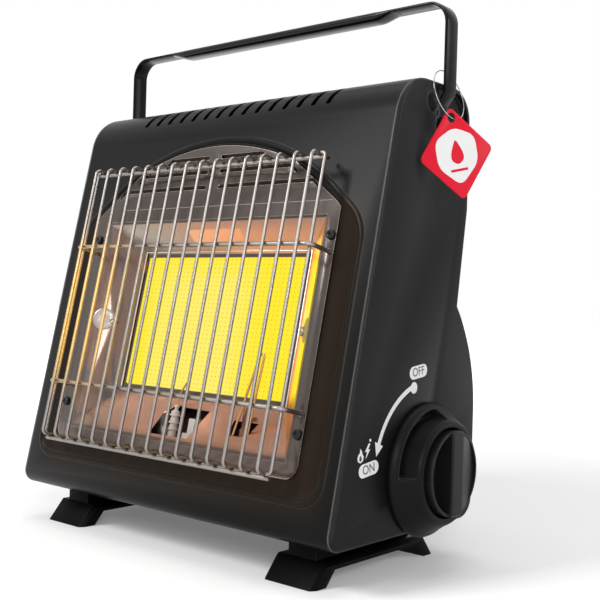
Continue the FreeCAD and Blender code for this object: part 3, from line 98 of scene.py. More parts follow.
class Wiring:
    """Short ways to lay nodes in one tree and to join them."""

    def __init__(self, tree):
        self.tree = tree

    def put(self, source, socket):
        if isinstance(source, bpy.types.NodeSocket):
            self.tree.links.new(source, socket)
        else:
            socket.default_value = source

    def node(self, kind, inputs=None, **settings):
        """A new node's outputs, once its settings and then its inputs are in place."""
        made = self.tree.nodes.new(kind)
        for name, value in settings.items():
            setattr(made, name, value)
        for name, source in (inputs or {}).items():
            self.put(source, made.inputs[name])
        return made.outputs

    def shade(self, inputs):
        """Sets or joins inputs of a material's shader."""
        for name, source in inputs.items():
            self.put(source, self.tree.nodes["Principled BSDF"].inputs[name])

    def place(self):
        return self.node("ShaderNodeTexCoord")["Object"]

    def math(self, operation, *sources):
        return self.node("ShaderNodeMath", dict(enumerate(sources)), operation=operation)[0]

    def times(self, first, *others):
        for other in others:
            first = self.math("MULTIPLY", first, other)
        return first

    def most(self, first, *others):
        for other in others:
            first = self.math("MAXIMUM", first, other)
        return first

    def ramp(self, value, start, end, low=0.0, high=1.0, ease="LINEAR"):
        """From low to high while the value goes from start to end."""
        inputs = {"Value": value, "From Min": start, "From Max": end, "To Min": low, "To Max": high}
        return self.node("ShaderNodeMapRange", inputs, interpolation_type=ease)["Result"]

    def band(self, value, low, high, soft):
        """One between low and high, fading to nothing over the soft width outside."""
        rise = self.ramp(value, low - soft, low, ease="SMOOTHSTEP")
        return self.times(rise, self.ramp(value, high, high + soft, 1.0, 0.0, "SMOOTHSTEP"))

    def mix(self, factor, *pair):
        """From the pair's first colour to its second by the factor."""
        first, second = ((*colour, 1) if isinstance(colour, tuple) else colour for colour in pair)
        inputs = {"Factor": factor, "A": first, "B": second}
        return self.node("ShaderNodeMix", inputs, data_type="RGBA")["Result"]

    def cloud(self, scale, stretch=(1, 1, 1), detail=3.0):
        """Noise on Object coordinates, stretched where asked."""
        shaped = self.node("ShaderNodeVectorMath", {0: self.place(), 1: stretch}, operation="MULTIPLY")
        return self.node("ShaderNodeTexNoise", {"Vector": shaped[0], "Scale": scale, "Detail": detail})["Fac"]

    def seen(self):
        """One where the camera looks, straight or in gloss or glass, and nought for light on the heater."""
        rays = self.node("ShaderNodeLightPath")
        return self.most(rays["Is Camera Ray"], rays["Is Glossy Ray"], rays["Is Transmission Ray"])


def fresh_material(name, colour, roughness, metallic=0.0, specular=0.5):
    """A new principled material, and the wiring of its tree."""
    made = bpy.data.materials.new(name)
    made.use_nodes = True
    wires = Wiring(made.node_tree)
    wires.shade({"Base Color": (*colour, 1), "Roughness": roughness, "Metallic": metallic,
                 "Specular IOR Level": specular})
    return made, wires


def mesh_piece(name, mesh, material=None):
    """A mesh object at the origin, linked into the scene."""
    piece = bpy.data.objects.new(name, mesh)
    scene.collection.objects.link(piece)
    if material:
        mesh.materials.clear()
        mesh.materials.append(material)
    return piece


world = bpy.data.worlds.new("white_surround")
scene.world = world
world.use_nodes = True
wires = Wiring(world.node_tree)
sky = world.node_tree.nodes["Background"].inputs
wires.put(WHITE, sky["Color"])
wires.put(wires.ramp(wires.seen(), 0.0, 1.0, DIFFUSE_SURROUND), sky["Strength"])

floor_mesh = bpy.data.meshes.new("floor")
floor_mesh.from_pydata([(x * FLOOR_HALF, y * FLOOR_HALF, 0) for x, y in ((-1, -1), (1, -1), (1, 1), (-1, 1))],
                       [], [(0, 1, 2, 3)])
floor_paint, wires = fresh_material("floor_paint", FLOOR_GREY, FLOOR_ROUGH, specular=0.0)
away = wires.node("ShaderNodeVectorMath", {0: wires.place()}, operation="LENGTH")["Value"]
white_floor = wires.times(wires.seen(), wires.ramp(away, *FLOOR_SHADE_REACH, FLOOR_LIFT))
wires.shade({"Emission Color": WHITE, "Emission Strength": white_floor})
mesh_piece("floor", floor_mesh, floor_paint)

# The casing: front shell, rear shell and base plate are bent from steel sheet, with a pressed bead round
# the burner opening and a row of louvres over the shoulder, all in satin black powder coat. A lighter colour
# along its edges and bends is a painted highlight, and a brown tint round the opening is painted firelight
# from the burner. A band is (low, high, soft).
LEAN = radians(12.34)
FRONT_FOOT = Vector((-0.0085, -0.060589, 0.025))
PAINT = (0.0042, 0.0042, 0.0043)
PAINT_ROUGH = 0.34
PAINT_GLOSS = 0.1
# painted highlight along the coat's edges and bends: colour, bevel width, share
PAINT_EDGE_HIGHLIGHT = ((0.10, 0.085, 0.07), 0.0012, 0.6)
# painted firelight: a brown tint standing for the burner's warm light on the coat round the opening
PAINT_FIRELIT = (0.018, 0.0095, 0.004)
FIRELIT_SHARE = 0.8
FIRELIT_BANDS = ((-0.098, 0.104, 0.022), (0.03, 0.165, 0.03), (-0.02, 0.004, 0.004))
BELOW_SLOTS = (-0.1, 0.2185, 0.003)
PEEL_SIZE = 700.0
PEEL_HEIGHT = 0.00004
PATCH_SIZE = 18.0
BENT_FROM = (0.995, 0.93)
SHEET_EDGE = 0.00025
DOUBLES = 2e-6
NEARLY_FLAT = 0.4
SHEET_SHARP = 32.0
SHOULDER_Y, SHOULDER_Z = 0.014998, 0.2395
SHOULDER_FACES = (0.028, 0.027)
SLOT_MIDDLE = -0.0085
SLOT_PITCH = 0.01085
SLOT_HALF = 0.0014
SLOT_OPEN = 1.45
SLOT_ARC = (33, 79)
SLOTS_A_SIDE = 7


def new_group(name, takes, gives, kind="ShaderNodeTree"):
    """A node group, its wiring, and what goes in and out, with its sockets listed by kind of value."""
    group = bpy.data.node_groups.new(name, kind)
    for way, sockets in (("INPUT", takes), ("OUTPUT", gives)):
        for value, names in sockets.items():
            for socket in names:
                group.interface.new_socket(socket, in_out=way, socket_type="NodeSocket" + value)
    wires = Wiring(group)
    return group, wires, wires.node("NodeGroupInput"), group.nodes.new("NodeGroupOutput").inputs


def skin_group():
    """Fine texture of a coated or moulded surface: a height, a roughness and a faint tone."""
    group, wires, given, result = new_group(
        "coated_skin", {"Float": ("Grain", "Rough", "Rough Spread", "Tone Spread"), "Color": ("Colour",)},
        {"Color": ("Colour",), "Float": ("Rough", "Height")})
    centred = wires.math("SUBTRACT", wires.cloud(PATCH_SIZE, detail=4.0), 0.5)
    tone = wires.math("MULTIPLY_ADD", centred, given["Tone Spread"], 1.0)
    toned = wires.node("ShaderNodeVectorMath", {0: given["Colour"], "Scale": tone}, operation="SCALE")
    wires.put(toned[0], result["Colour"])
    wires.put(wires.math("MULTIPLY_ADD", centred, given["Rough Spread"], given["Rough"]), result["Rough"])
    wires.put(wires.cloud(given["Grain"], detail=2.0), result["Height"])
    return group


def painted_highlight_group():
    """A mask that is one along a sheet's bends and edges, where a lighter colour is painted as a highlight."""
    group, wires, given, result = new_group("painted_edge_highlight", {"Float": ("Width", "Share")}, {"Float": ("Edge",)})
    softened = wires.node("ShaderNodeBevel", {"Radius": given["Width"]}, samples=4)["Normal"]
    surface = wires.node("ShaderNodeNewGeometry")["Normal"]
    agree = wires.node("ShaderNodeVectorMath", {0: softened, 1: surface}, operation="DOT_PRODUCT")["Value"]
    wires.put(wires.times(wires.ramp(agree, *BENT_FROM), given["Share"]), result["Edge"])
    return group


def slope_place_group():
    """Where a point is on the leaning front: across from the middle, up the slope, and into the casing."""
    group, wires, given, result = new_group("slope_place", {}, {"Float": ("Across", "Up", "Into")})
    offset = wires.node("ShaderNodeVectorMath", {0: wires.place(), 1: FRONT_FOOT}, operation="SUBTRACT")[0]
    for socket, way in (("Across", (1, 0, 0)), ("Up", (0, sin(LEAN), cos(LEAN))),
                        ("Into", (0, cos(LEAN), -sin(LEAN)))):
        along = wires.node("ShaderNodeVectorMath", {0: offset, 1: way}, operation="DOT_PRODUCT")
        wires.put(along["Value"], result[socket])
    return group


coated_skin = skin_group()
painted_edge_highlight = painted_highlight_group()
slope_place = slope_place_group()


def painted_highlight_mask(wires, width, share):
    return wires.node("ShaderNodeGroup", {"Width": width, "Share": share}, node_tree=painted_edge_highlight)["Edge"]


def coated(name, colour, rough, grain, height, spread=0.06, tone=0.2, metallic=0.0, specular=0.5, edge_highlight=None):
    """A painted, moulded or cast surface; its last argument gives the tone, width and share of a highlight
    painted along its edges.
    """
    made, wires = fresh_material(name, colour, rough, metallic, specular)
    skin = wires.node("ShaderNodeGroup", {"Grain": grain, "Rough": rough, "Rough Spread": spread,
                                          "Tone Spread": tone, "Colour": (*colour, 1)}, node_tree=coated_skin)
    bump = wires.node("ShaderNodeBump", {"Distance": height, "Strength": 1.0, "Height": skin["Height"]})
    wires.shade({"Base Color": skin["Colour"], "Roughness": skin["Rough"], "Normal": bump["Normal"]})
    if edge_highlight:
        light, width, share = edge_highlight
        wires.shade({"Base Color": wires.mix(painted_highlight_mask(wires, width, share), skin["Colour"], light)})
    return made


def keep_painted_highlight(wires, mask):
    """Keeps a coat's painted edge highlight to where the mask lets it show, and gives the coat's colour."""
    highlight_mix = next(node for node in wires.tree.nodes if node.type == "MIX")
    factor = highlight_mix.inputs["Factor"]
    wires.put(wires.times(factor.links[0].from_socket, mask), factor)
    return highlight_mix.outputs["Result"]


def clean_copy(node):
    """A CAD node's shape, with doubles merged and its flat triangles joined."""
    work = bmesh.new()
    work.from_mesh(frame["nodes"][node].data)
    bmesh.ops.remove_doubles(work, verts=work.verts, dist=DOUBLES)
    bmesh.ops.dissolve_limit(work, angle_limit=radians(NEARLY_FLAT), verts=work.verts, edges=work.edges)
    return work


def mesh_from(name, work):
    mesh = bpy.data.meshes.new(name)
    work.to_mesh(mesh)
    work.free()
    return mesh


def round_edges(piece, width, segments, **limits):
    bevel = piece.modifiers.new("rounded_edges", "BEVEL")
    bevel.width = width
    bevel.segments = segments
    bevel.use_clamp_overlap = True
    for name, value in limits.items():
        setattr(bevel, name, value)


def evaluated(piece):
    return bpy.data.meshes.new_from_object(piece.evaluated_get(bpy.context.evaluated_depsgraph_get()))


def belongs(piece, node, body="housing", smooth=False, sharp=None, stands_in=False):
    """Shades a piece and ties it to its body, in its CAD node's place if it stands in for it."""
    if smooth or sharp:
        piece.data.shade_smooth()
    if sharp:
        piece.data.set_sharp_from_angle(angle=radians(sharp))
    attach(piece, body)
    if stands_in:
        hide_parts(node)
    return piece


def settled(piece, node, body="housing", sharp=SHEET_SHARP):
    """Applies a piece's modifiers, and puts it in the place of its CAD node."""
    mesh = evaluated(piece)
    mesh.name = piece.name
    piece.modifiers.clear()
    piece.data = mesh
    return belongs(piece, node, body, sharp=sharp, stands_in=True)


def finished(name, node, material, edge=0.0, sharp=SHEET_SHARP, body="housing", reshape=None):
    """A finished copy of a CAD node: doubles merged, edges broken, curves shaded smooth."""
    work = clean_copy(node)
    if reshape:
        reshape(work)
    piece = mesh_piece(name, mesh_from(name, work), material)
    if edge:
        round_edges(piece, edge, 2, limit_method="ANGLE", angle_limit=radians(sharp))
    return settled(piece, node, body, sharp)


def open_slots(work):
    """Opens the shoulder's slots a little, along the sheet, to the width that they show."""
    for vert in work.verts:
        back, rise = vert.co.y - SHOULDER_Y, vert.co.z - SHOULDER_Z
        number = round((vert.co.x - SLOT_MIDDLE) / SLOT_PITCH)
        off = vert.co.x - SLOT_MIDDLE - number * SLOT_PITCH
        in_slot = abs(number) <= SLOTS_A_SIDE and abs(off) < SLOT_HALF
        on_roll = SLOT_ARC[0] < degrees(atan2(rise, -back)) < SLOT_ARC[1]
        if in_slot and on_roll and abs(hypot(back, rise) - SHOULDER_FACES[1]) < 0.002:
            vert.co.x += off * (SLOT_OPEN - 1)


def roll_shading(mesh):
    """Shades both faces of the rolled shoulder as the true cylinder that they are."""
    normals = [Vector(corner.vector) for corner in mesh.corner_normals]
    for polygon in mesh.polygons:
        for corner in polygon.loop_indices:
            point = mesh.vertices[mesh.loops[corner].vertex_index].co
            outward = Vector((0, point.y - SHOULDER_Y, point.z - SHOULDER_Z))
            if min(abs(outward.length - radius) for radius in SHOULDER_FACES) < 0.0002:
                facing = polygon.normal.dot(outward.normalized())
                if abs(facing) > 0.97:
                    normals[corner] = outward.normalized() * (1 if facing > 0 else -1)
    mesh.normals_split_custom_set(normals)


black_coat = coated("black_coat", PAINT, PAINT_ROUGH, PEEL_SIZE, PEEL_HEIGHT, specular=PAINT_GLOSS,
                    edge_highlight=PAINT_EDGE_HIGHLIGHT)
wires = Wiring(black_coat.node_tree)
across, up, into = wires.node("ShaderNodeGroup", node_tree=slope_place)
# The painted edge highlight is kept to the sheet below the louvres.
plain = keep_painted_highlight(wires, wires.band(up, *BELOW_SLOTS))
# A brown tint round the opening paints the burner's firelight on the coat.
firelit = wires.times(FIRELIT_SHARE, *(wires.band(way, *band)
                                       for way, band in zip((across, up, into), FIRELIT_BANDS)))
wires.shade({"Base Color": wires.mix(firelit, plain, PAINT_FIRELIT)})
shell_sheet = finished("front_shell_sheet", "front_shell", black_coat, SHEET_EDGE, reshape=open_slots)
roll_shading(shell_sheet.data)
finished("rear_shell_sheet", "rear_shell", black_coat, SHEET_EDGE)
finished("base_plate_sheet", "base_plate", black_coat, SHEET_EDGE)

# The two side panels are shallow pressed trays with a rolled rim and a recess for the handle's ear. The
# right one carries printed marks in pale grey ink: an arrow from OFF to ON, a flame and a spark.
TRAY_EDGE = 0.0002
# painted highlight along the trays' edges and bends: colour, bevel width, share; strongest along the front edge
TRAY_EDGE_HIGHLIGHT = ((0.2, 0.195, 0.19), 0.0015, 0.9)
TRAY_FRONT = (-0.02, 0.004, 0.008)
TRAY_HIGHLIGHT_FRONT, TRAY_HIGHLIGHT_REST = 0.65, 0.35
PANEL_FACE = 0.119
PANEL_Y0 = -0.060589
PALE_INK = (0.78, 0.78, 0.78)
DARK_INK = (0.03, 0.03, 0.03)
INK_SKIN = (0.45, 900.0, 0.00001)
INK_THICK = 0.00006
INK_LAYER, INK_PROUD = 2.0, 2.4
KNOB_AXIS = next(joint for joint in frame["joints"] if joint["name"] == "knob_turn")["pos_m"]
ARROW_RADIUS = 0.048
ARROW_START = 107.0
ARROW_END = 161.0
ARROW_BARB = 158.0
ARROW_TIP = 165.8
ARROW_WIDTH = 0.0026
ARROW_HEAD = 0.0075
DOT_RADIUS = 0.0031
DOT_IN = 0.0008
PILL_HALF = 0.0035
PILL_REACH = 0.0049
PILL_TILT = radians(7.0)
LETTER_SIZE = 0.0066
OFF_PILL = (0.0731, 0.1091)
ON_PILL = (0.0303, 0.0615)
FLAME_AT = (0.0231, 0.0682)
FLAME_OUTER = [(0.0, -0.0030), (0.0021, -0.0020), (0.0026, 0.0002), (0.0014, 0.0016), (0.0010, 0.0030),
               (-0.0004, 0.0044), (-0.0006, 0.0022), (-0.0020, 0.0012), (-0.0026, -0.0006), (-0.0020, -0.0022)]
FLAME_CORE = [(0.0, -0.0022), (0.0010, -0.0014), (0.0008, -0.0002), (-0.0002, 0.0010), (-0.0010, -0.0006),
              (-0.0009, -0.0016)]
SPARK_AT = (0.0288, 0.0711)
SPARK = [(0.0010, 0.0036), (-0.0022, -0.0006), (-0.0004, -0.0005), (-0.0014, -0.0042), (0.0023, 0.0005),
         (0.0005, 0.0004), (0.0022, 0.0033)]
SPARK_DOT = ((0.0022, 0.0050), 0.0008)

side_coat = coated("side_coat", PAINT, PAINT_ROUGH, PEEL_SIZE, PEEL_HEIGHT, specular=PAINT_GLOSS,
                   edge_highlight=TRAY_EDGE_HIGHLIGHT)
wires = Wiring(side_coat.node_tree)
into = wires.node("ShaderNodeGroup", node_tree=slope_place)["Into"]
# The painted edge highlight is strongest along the trays' front edge.
keep_painted_highlight(wires, wires.math("MULTIPLY_ADD", wires.band(into, *TRAY_FRONT), TRAY_HIGHLIGHT_FRONT, TRAY_HIGHLIGHT_REST))
finished("right_side_tray", "right_side_panel", side_coat, TRAY_EDGE)
finished("left_side_tray", "left_side_panel", side_coat, TRAY_EDGE)


def skinned(name, stacks, place=None, split=False):
    """One mesh with a closed skin over each stack of rings of points."""
    work = bmesh.new()
    for stack in stacks:
        rings = [[work.verts.new(point) for point in ring] for ring in stack]
        for near, far in zip(rings, rings[1:]):
            for i in range(len(near)):
                j = (i + 1) % len(near)
                work.faces.new((near[i], near[j], far[j], far[i]))
        work.faces.new(rings[0][::-1])
        work.faces.new(rings[-1])
    bmesh.ops.recalc_face_normals(work, faces=work.faces)
    if split:
        bmesh.ops.triangulate(work, faces=work.faces)
    mesh = mesh_from(name, work)
    if place:
        mesh.transform(place)
    return mesh


def joined(name, meshes, material):
    """One object made of several meshes."""
    work = bmesh.new()
    for mesh in meshes:
        work.from_mesh(mesh)
    return mesh_piece(name, mesh_from(name, work), material)


def hardened(name, data, tree=None, values=None):
    """The plain mesh of a curve, a word, or a shape that a node tree repeats."""
    holder = bpy.data.objects.new(name, data)
    scene.collection.objects.link(holder)
    if tree:
        modifier = holder.modifiers.new(name, "NODES")
        modifier.node_group = tree
        for socket in tree.interface.items_tree:
            if socket.in_out == "INPUT" and socket.name in values:
                modifier[socket.identifier] = values[socket.name]
    mesh = evaluated(holder)
    bpy.data.objects.remove(holder)
    return mesh


def around(centre, radius, start, end, steps):
    """Points on an arc about a centre in (y, z), angles in degrees from +Y towards +Z."""
    turns = [radians(start + (end - start) * i / steps) for i in range(steps + 1)]
    return [(centre[0] + radius * cos(turn), centre[1] + radius * sin(turn)) for turn in turns]


def on_panel(outline, place):
    return [(place[0] + PANEL_Y0 + y, place[1] + z) for y, z in outline]


def plate(outline, proud=INK_LAYER, base=PANEL_FACE - INK_THICK):
    """A film of ink with its outline in (y, z), so many ink depths thick."""
    return [[(base + rise, y, z) for y, z in outline] for rise in (0, proud * INK_THICK)]


def panel_word(word, place):
    """A word standing on the ink, read from the right side."""
    text = bpy.data.curves.new("word", "FONT")
    text.body = word
    text.size = LETTER_SIZE
    text.align_x = "CENTER"
    text.align_y = "CENTER"
    text.extrude = INK_THICK
    mesh = hardened("word", text)
    y, z = on_panel([(0, 0)], place)[0]
    stand = Matrix(((0, 0, 1, PANEL_FACE + INK_THICK), (1, 0, 0, y), (0, 1, 0, z), (0, 0, 0, 1)))
    mesh.transform(stand @ Matrix.Rotation(PILL_TILT, 4, "Z"))
    return mesh


def by_knob(out, start, end=None, steps=1):
    """Points on an arc about the knob's axis, so far outside the arrow's radius."""
    return around(KNOB_AXIS[1:], ARROW_RADIUS + out, start, start if end is None else end, steps)


shaft = by_knob(ARROW_WIDTH / 2, ARROW_START, ARROW_END, 24)
shaft += by_knob(-ARROW_WIDTH / 2, ARROW_END, ARROW_START, 24)
head = [by_knob(out, turn)[0] for out, turn in (
    (0, ARROW_TIP), (ARROW_HEAD / 2, ARROW_BARB), (-ARROW_HEAD / 2, ARROW_BARB))]
dot = around(by_knob(-DOT_IN, ARROW_START)[0], DOT_RADIUS, 0, 345, 23)
level_pill = around((-PILL_REACH, 0), PILL_HALF, 90, 270, 12)
level_pill += around((PILL_REACH, 0), PILL_HALF, -90, 90, 12)
pill = [(y * cos(PILL_TILT) - z * sin(PILL_TILT), y * sin(PILL_TILT) + z * cos(PILL_TILT))
        for y, z in level_pill]
films = [plate(shaft), plate(head, INK_PROUD), plate(dot, INK_PROUD)]
films += [plate(on_panel(outline, place)) for outline, place in (
    (pill, OFF_PILL), (pill, ON_PILL), (FLAME_OUTER, FLAME_AT), (SPARK, SPARK_AT),
    (around(*SPARK_DOT, 0, 330, 11), SPARK_AT))]
pale_ink = coated("pale_ink", PALE_INK, *INK_SKIN)
dark_ink = coated("dark_ink", DARK_INK, *INK_SKIN)
belongs(joined("panel_marks", [skinned("films", films, split=True)], pale_ink), "right_side_panel")
flame_core = skinned("flame_core", [plate(on_panel(FLAME_CORE, FLAME_AT), base=PANEL_FACE)], split=True)
belongs(joined("panel_words", [panel_word("OFF", OFF_PILL), panel_word("ON", ON_PILL), flame_core], dark_ink),
        "right_side_panel")

# The reflector is one pressing in satin stainless steel: flange, four-walled dish and slotted hood. Its
# straw and pink tones near the burner are painted reflection of the burner's glow, and the strips below each
# slit are pushed forwards.
# Bands are (low, high, soft), in metres across the front, up its slope and into the casing.
STEEL = 0.0008
FOLD = 0.0012
RIM = 0.00022
FOLD_FROM, CUT_FROM = radians(25), radians(76)
PRESSING_SHARP = 28.0
HOOD_CREASE = 0.1786
HOOD_TILT = radians(4.0)
CREASE_ENDS = (-0.0760, 0.0940)
CREASE_RADIUS = 0.00035
SLITS = [(0.1895, 0.078), (0.1988, 0.061), (0.2074, 0.038)]
SLIT_WEB = 0.005
SLIT_TAPER = 0.004
SLIT_TALL = 0.0022
LIP_DEEP = 0.0026
LIP_OUT = 0.0013
LIP_SECTION = [(-LIP_DEEP, STEEL - 0.0002), (-0.0004, STEEL + LIP_OUT), (-0.0001, STEEL + LIP_OUT - 0.0006),
               (-LIP_DEEP, STEEL - 0.0008)]
LIP_SUNK = LIP_OUT * 0.9
LEAF_IN = 0.0032
LEAF_SECTION = [(SLIT_TALL + 0.0006, -0.0001), (-0.0040, -LEAF_IN), (-0.0040, -LEAF_IN - 0.0005),
                (SLIT_TALL + 0.0006, -0.0006)]
DISH_HALF = 0.0918
DISH_LOW = 0.038
DISH_HIGH = 0.1708
DISH_DEEP = 0.019
TILE_SIDE = 0.0695
WALL_IN = DISH_HALF - TILE_SIDE
FLOOR_UP = 0.028
TOP_DOWN = 0.0148
DISH_LIP = (0.066, 0.156)
DISH_LIP_RADIUS = 0.0006
PAD_RADIUS = 0.0075
PAD_AHEAD = 0.0058
PAD_PROFILE = [(1.0, -0.0003), (1.0, 0.00015), (0.93, 0.0005), (0.75, 0.0009), (0.4, 0.000675), (0.1, 0.00054)]
SCREW_EDGE = 0.00012
BURNER_AT = Vector((-0.0085, -0.0185, 0.1305))
HEAT_NEAR, HEAT_FAR = (0.25, 0.6), (0.6, 1.0)
STEEL_COOL = (0.115, 0.098, 0.09)
STEEL_RIM = (0.15, 0.115, 0.10)
# painted highlight along the flange's edges and folds: colour, bevel width, share
STEEL_EDGE_HIGHLIGHT = ((0.85, 0.78, 0.68), 0.0005, 0.65)
# painted reflection of the burner's glow: warm tones of the dish's floor, walls and top, with a greenish patch
# on the top
FLOOR_TONES = (0.30, 0.205, 0.15), (0.50, 0.27, 0.19)
WALL_TONES = (0.14, 0.13, 0.128), (0.30, 0.17, 0.12)
TOP_TONES = (0.42, 0.37, 0.32), (0.56, 0.33, 0.24)
TOP_GREEN, TOP_GREEN_SHARE = (0.33, 0.36, 0.24), 0.2
SEAM_TONE, SEAM_SHARE = (0.10, 0.05, 0.03), 0.8
STREAK_STRETCH, STREAKS, STREAK_SHARE = (250, 250, 9), (0.5, 0.9, 0.14), 0.55
PATCH_SCALE, PATCHES = 26.0, (0.48, 0.9, 0.1)
IN_DISH, AT_FACE = (0.0012, 0.05, 0.0008), (-0.0009, 0.0003, 0.0004)
AT_LEFT, AT_RIGHT = (-0.12, -0.05, 0.001), (0.05, 0.12, 0.001)
FLOOR_WARM, TOP_WARM, TOP_GREENISH = (0.0, 0.12, 0.10), (0.01, 0.12, 0.09), (-0.06, -0.045, 0.02)
SEAM_ACROSS, SEAM_INTO = (-0.018, 0.0245, 0.0004), (0.0136, 0.0141, 0.0002)
RIM_UP = (0.02, 0.0385, 0.002)
# painted reflection of the fire, given as emission on the right wall, its corners, the left wall and the top
FIRE_ORANGE, FIRE_YELLOW = (0.95, 0.30, 0.035), (1.0, 0.62, 0.02)
FIRE_REFLECTION_STRENGTH = 0.9
FIRE_UP, FIRE_INTO = (0.076, 0.156, 0.010), (0.0035, 0.03, 0.001)
FIRE_YELLOW_INTO = (-0.01, 0.0125, 0.0035)
LOW_CORNER, LOW_SHARE = (0.05, 0.076, 0.012), 0.30
HIGH_CORNER, HIGH_SHARE = (0.156, 0.18, 0.006), 0.34
OVER_ACROSS, OVER_INTO, OVER_WANDER, OVER_SHARE = (0.045, 0.10, 0.05), (0.010, 0.03, 0.010), 0.03, 0.30
SPOT_ACROSS, SPOT_INTO, SPOT_SHARE = (-0.0205, 0.0215, 0.0015), (0.0055, 0.0125, 0.0005), 0.5
LEFT_UP, LEFT_SHARE = (0.1445, 0.1475, 0.004), 0.22
on_slope = Matrix(((1, 0, 0, FRONT_FOOT.x), (0, sin(LEAN), -cos(LEAN), FRONT_FOOT.y),
                   (0, cos(LEAN), sin(LEAN), FRONT_FOOT.z), (0, 0, 0, 1)))


def drawn_group():
    """Grain of rolled or drawn metal, stretched along one way, with faint smears."""
    group, wires, given, result = new_group(
        "drawn_metal", {"Vector": ("Stretch",), "Float": ("Rough", "Rough Spread")},
        {"Float": ("Rough", "Height")})
    grain = wires.cloud(1.0, given["Stretch"])
    centred = wires.math("SUBTRACT", wires.math("ADD", grain, wires.cloud(45.0)), 1.0)
    wires.put(wires.math("MULTIPLY_ADD", centred, given["Rough Spread"], given["Rough"]), result["Rough"])
    wires.put(grain, result["Height"])
    return group


def heat_group():
    """Colour of steel by how near it is to the burner: plain far away, straw and pink close by."""
    group, wires, given, result = new_group(
        "heat_tint", {"Color": ("Cold", "Warm", "Hot"), "Float": ("Reach",)}, {"Color": ("Colour",)})
    gap = wires.node("ShaderNodeVectorMath", {0: wires.place(), 1: BURNER_AT}, operation="DISTANCE")["Value"]
    wander = wires.math("MULTIPLY_ADD", wires.cloud(22.0), 0.7, -0.35)
    sum_of = {0: wires.math("DIVIDE", gap, given["Reach"]), 1: wander}
    along = wires.node("ShaderNodeMath", sum_of, operation="ADD", use_clamp=True)[0]
    inner = wires.mix(wires.ramp(along, *HEAT_NEAR), given["Hot"], given["Warm"])
    wires.put(wires.mix(wires.ramp(along, *HEAT_FAR), inner, given["Cold"]), result["Colour"])
    return group


drawn_metal = drawn_group()
heat_tint = heat_group()


def bare_metal(name, colour, rough, stretch, height, spread=0.15, tint=None):
    """Bare metal with its grain, and with heat tint where tint gives (warm, hot, reach)."""
    made, wires = fresh_material(name, colour, rough, metallic=1.0)
    grain = wires.node("ShaderNodeGroup", {"Stretch": stretch, "Rough": rough, "Rough Spread": spread},
                       node_tree=drawn_metal)
    bump = wires.node("ShaderNodeBump", {"Distance": height, "Height": grain["Height"]})
    wires.shade({"Normal": bump["Normal"], "Roughness": grain["Rough"]})
    if tint:
        warm, hot, reach = tint
        heated = wires.node("ShaderNodeGroup", {"Cold": (*colour, 1), "Warm": (*warm, 1), "Hot": (*hot, 1),
                                                "Reach": reach}, node_tree=heat_tint)
        wires.shade({"Base Color": heated["Colour"]})
    return made


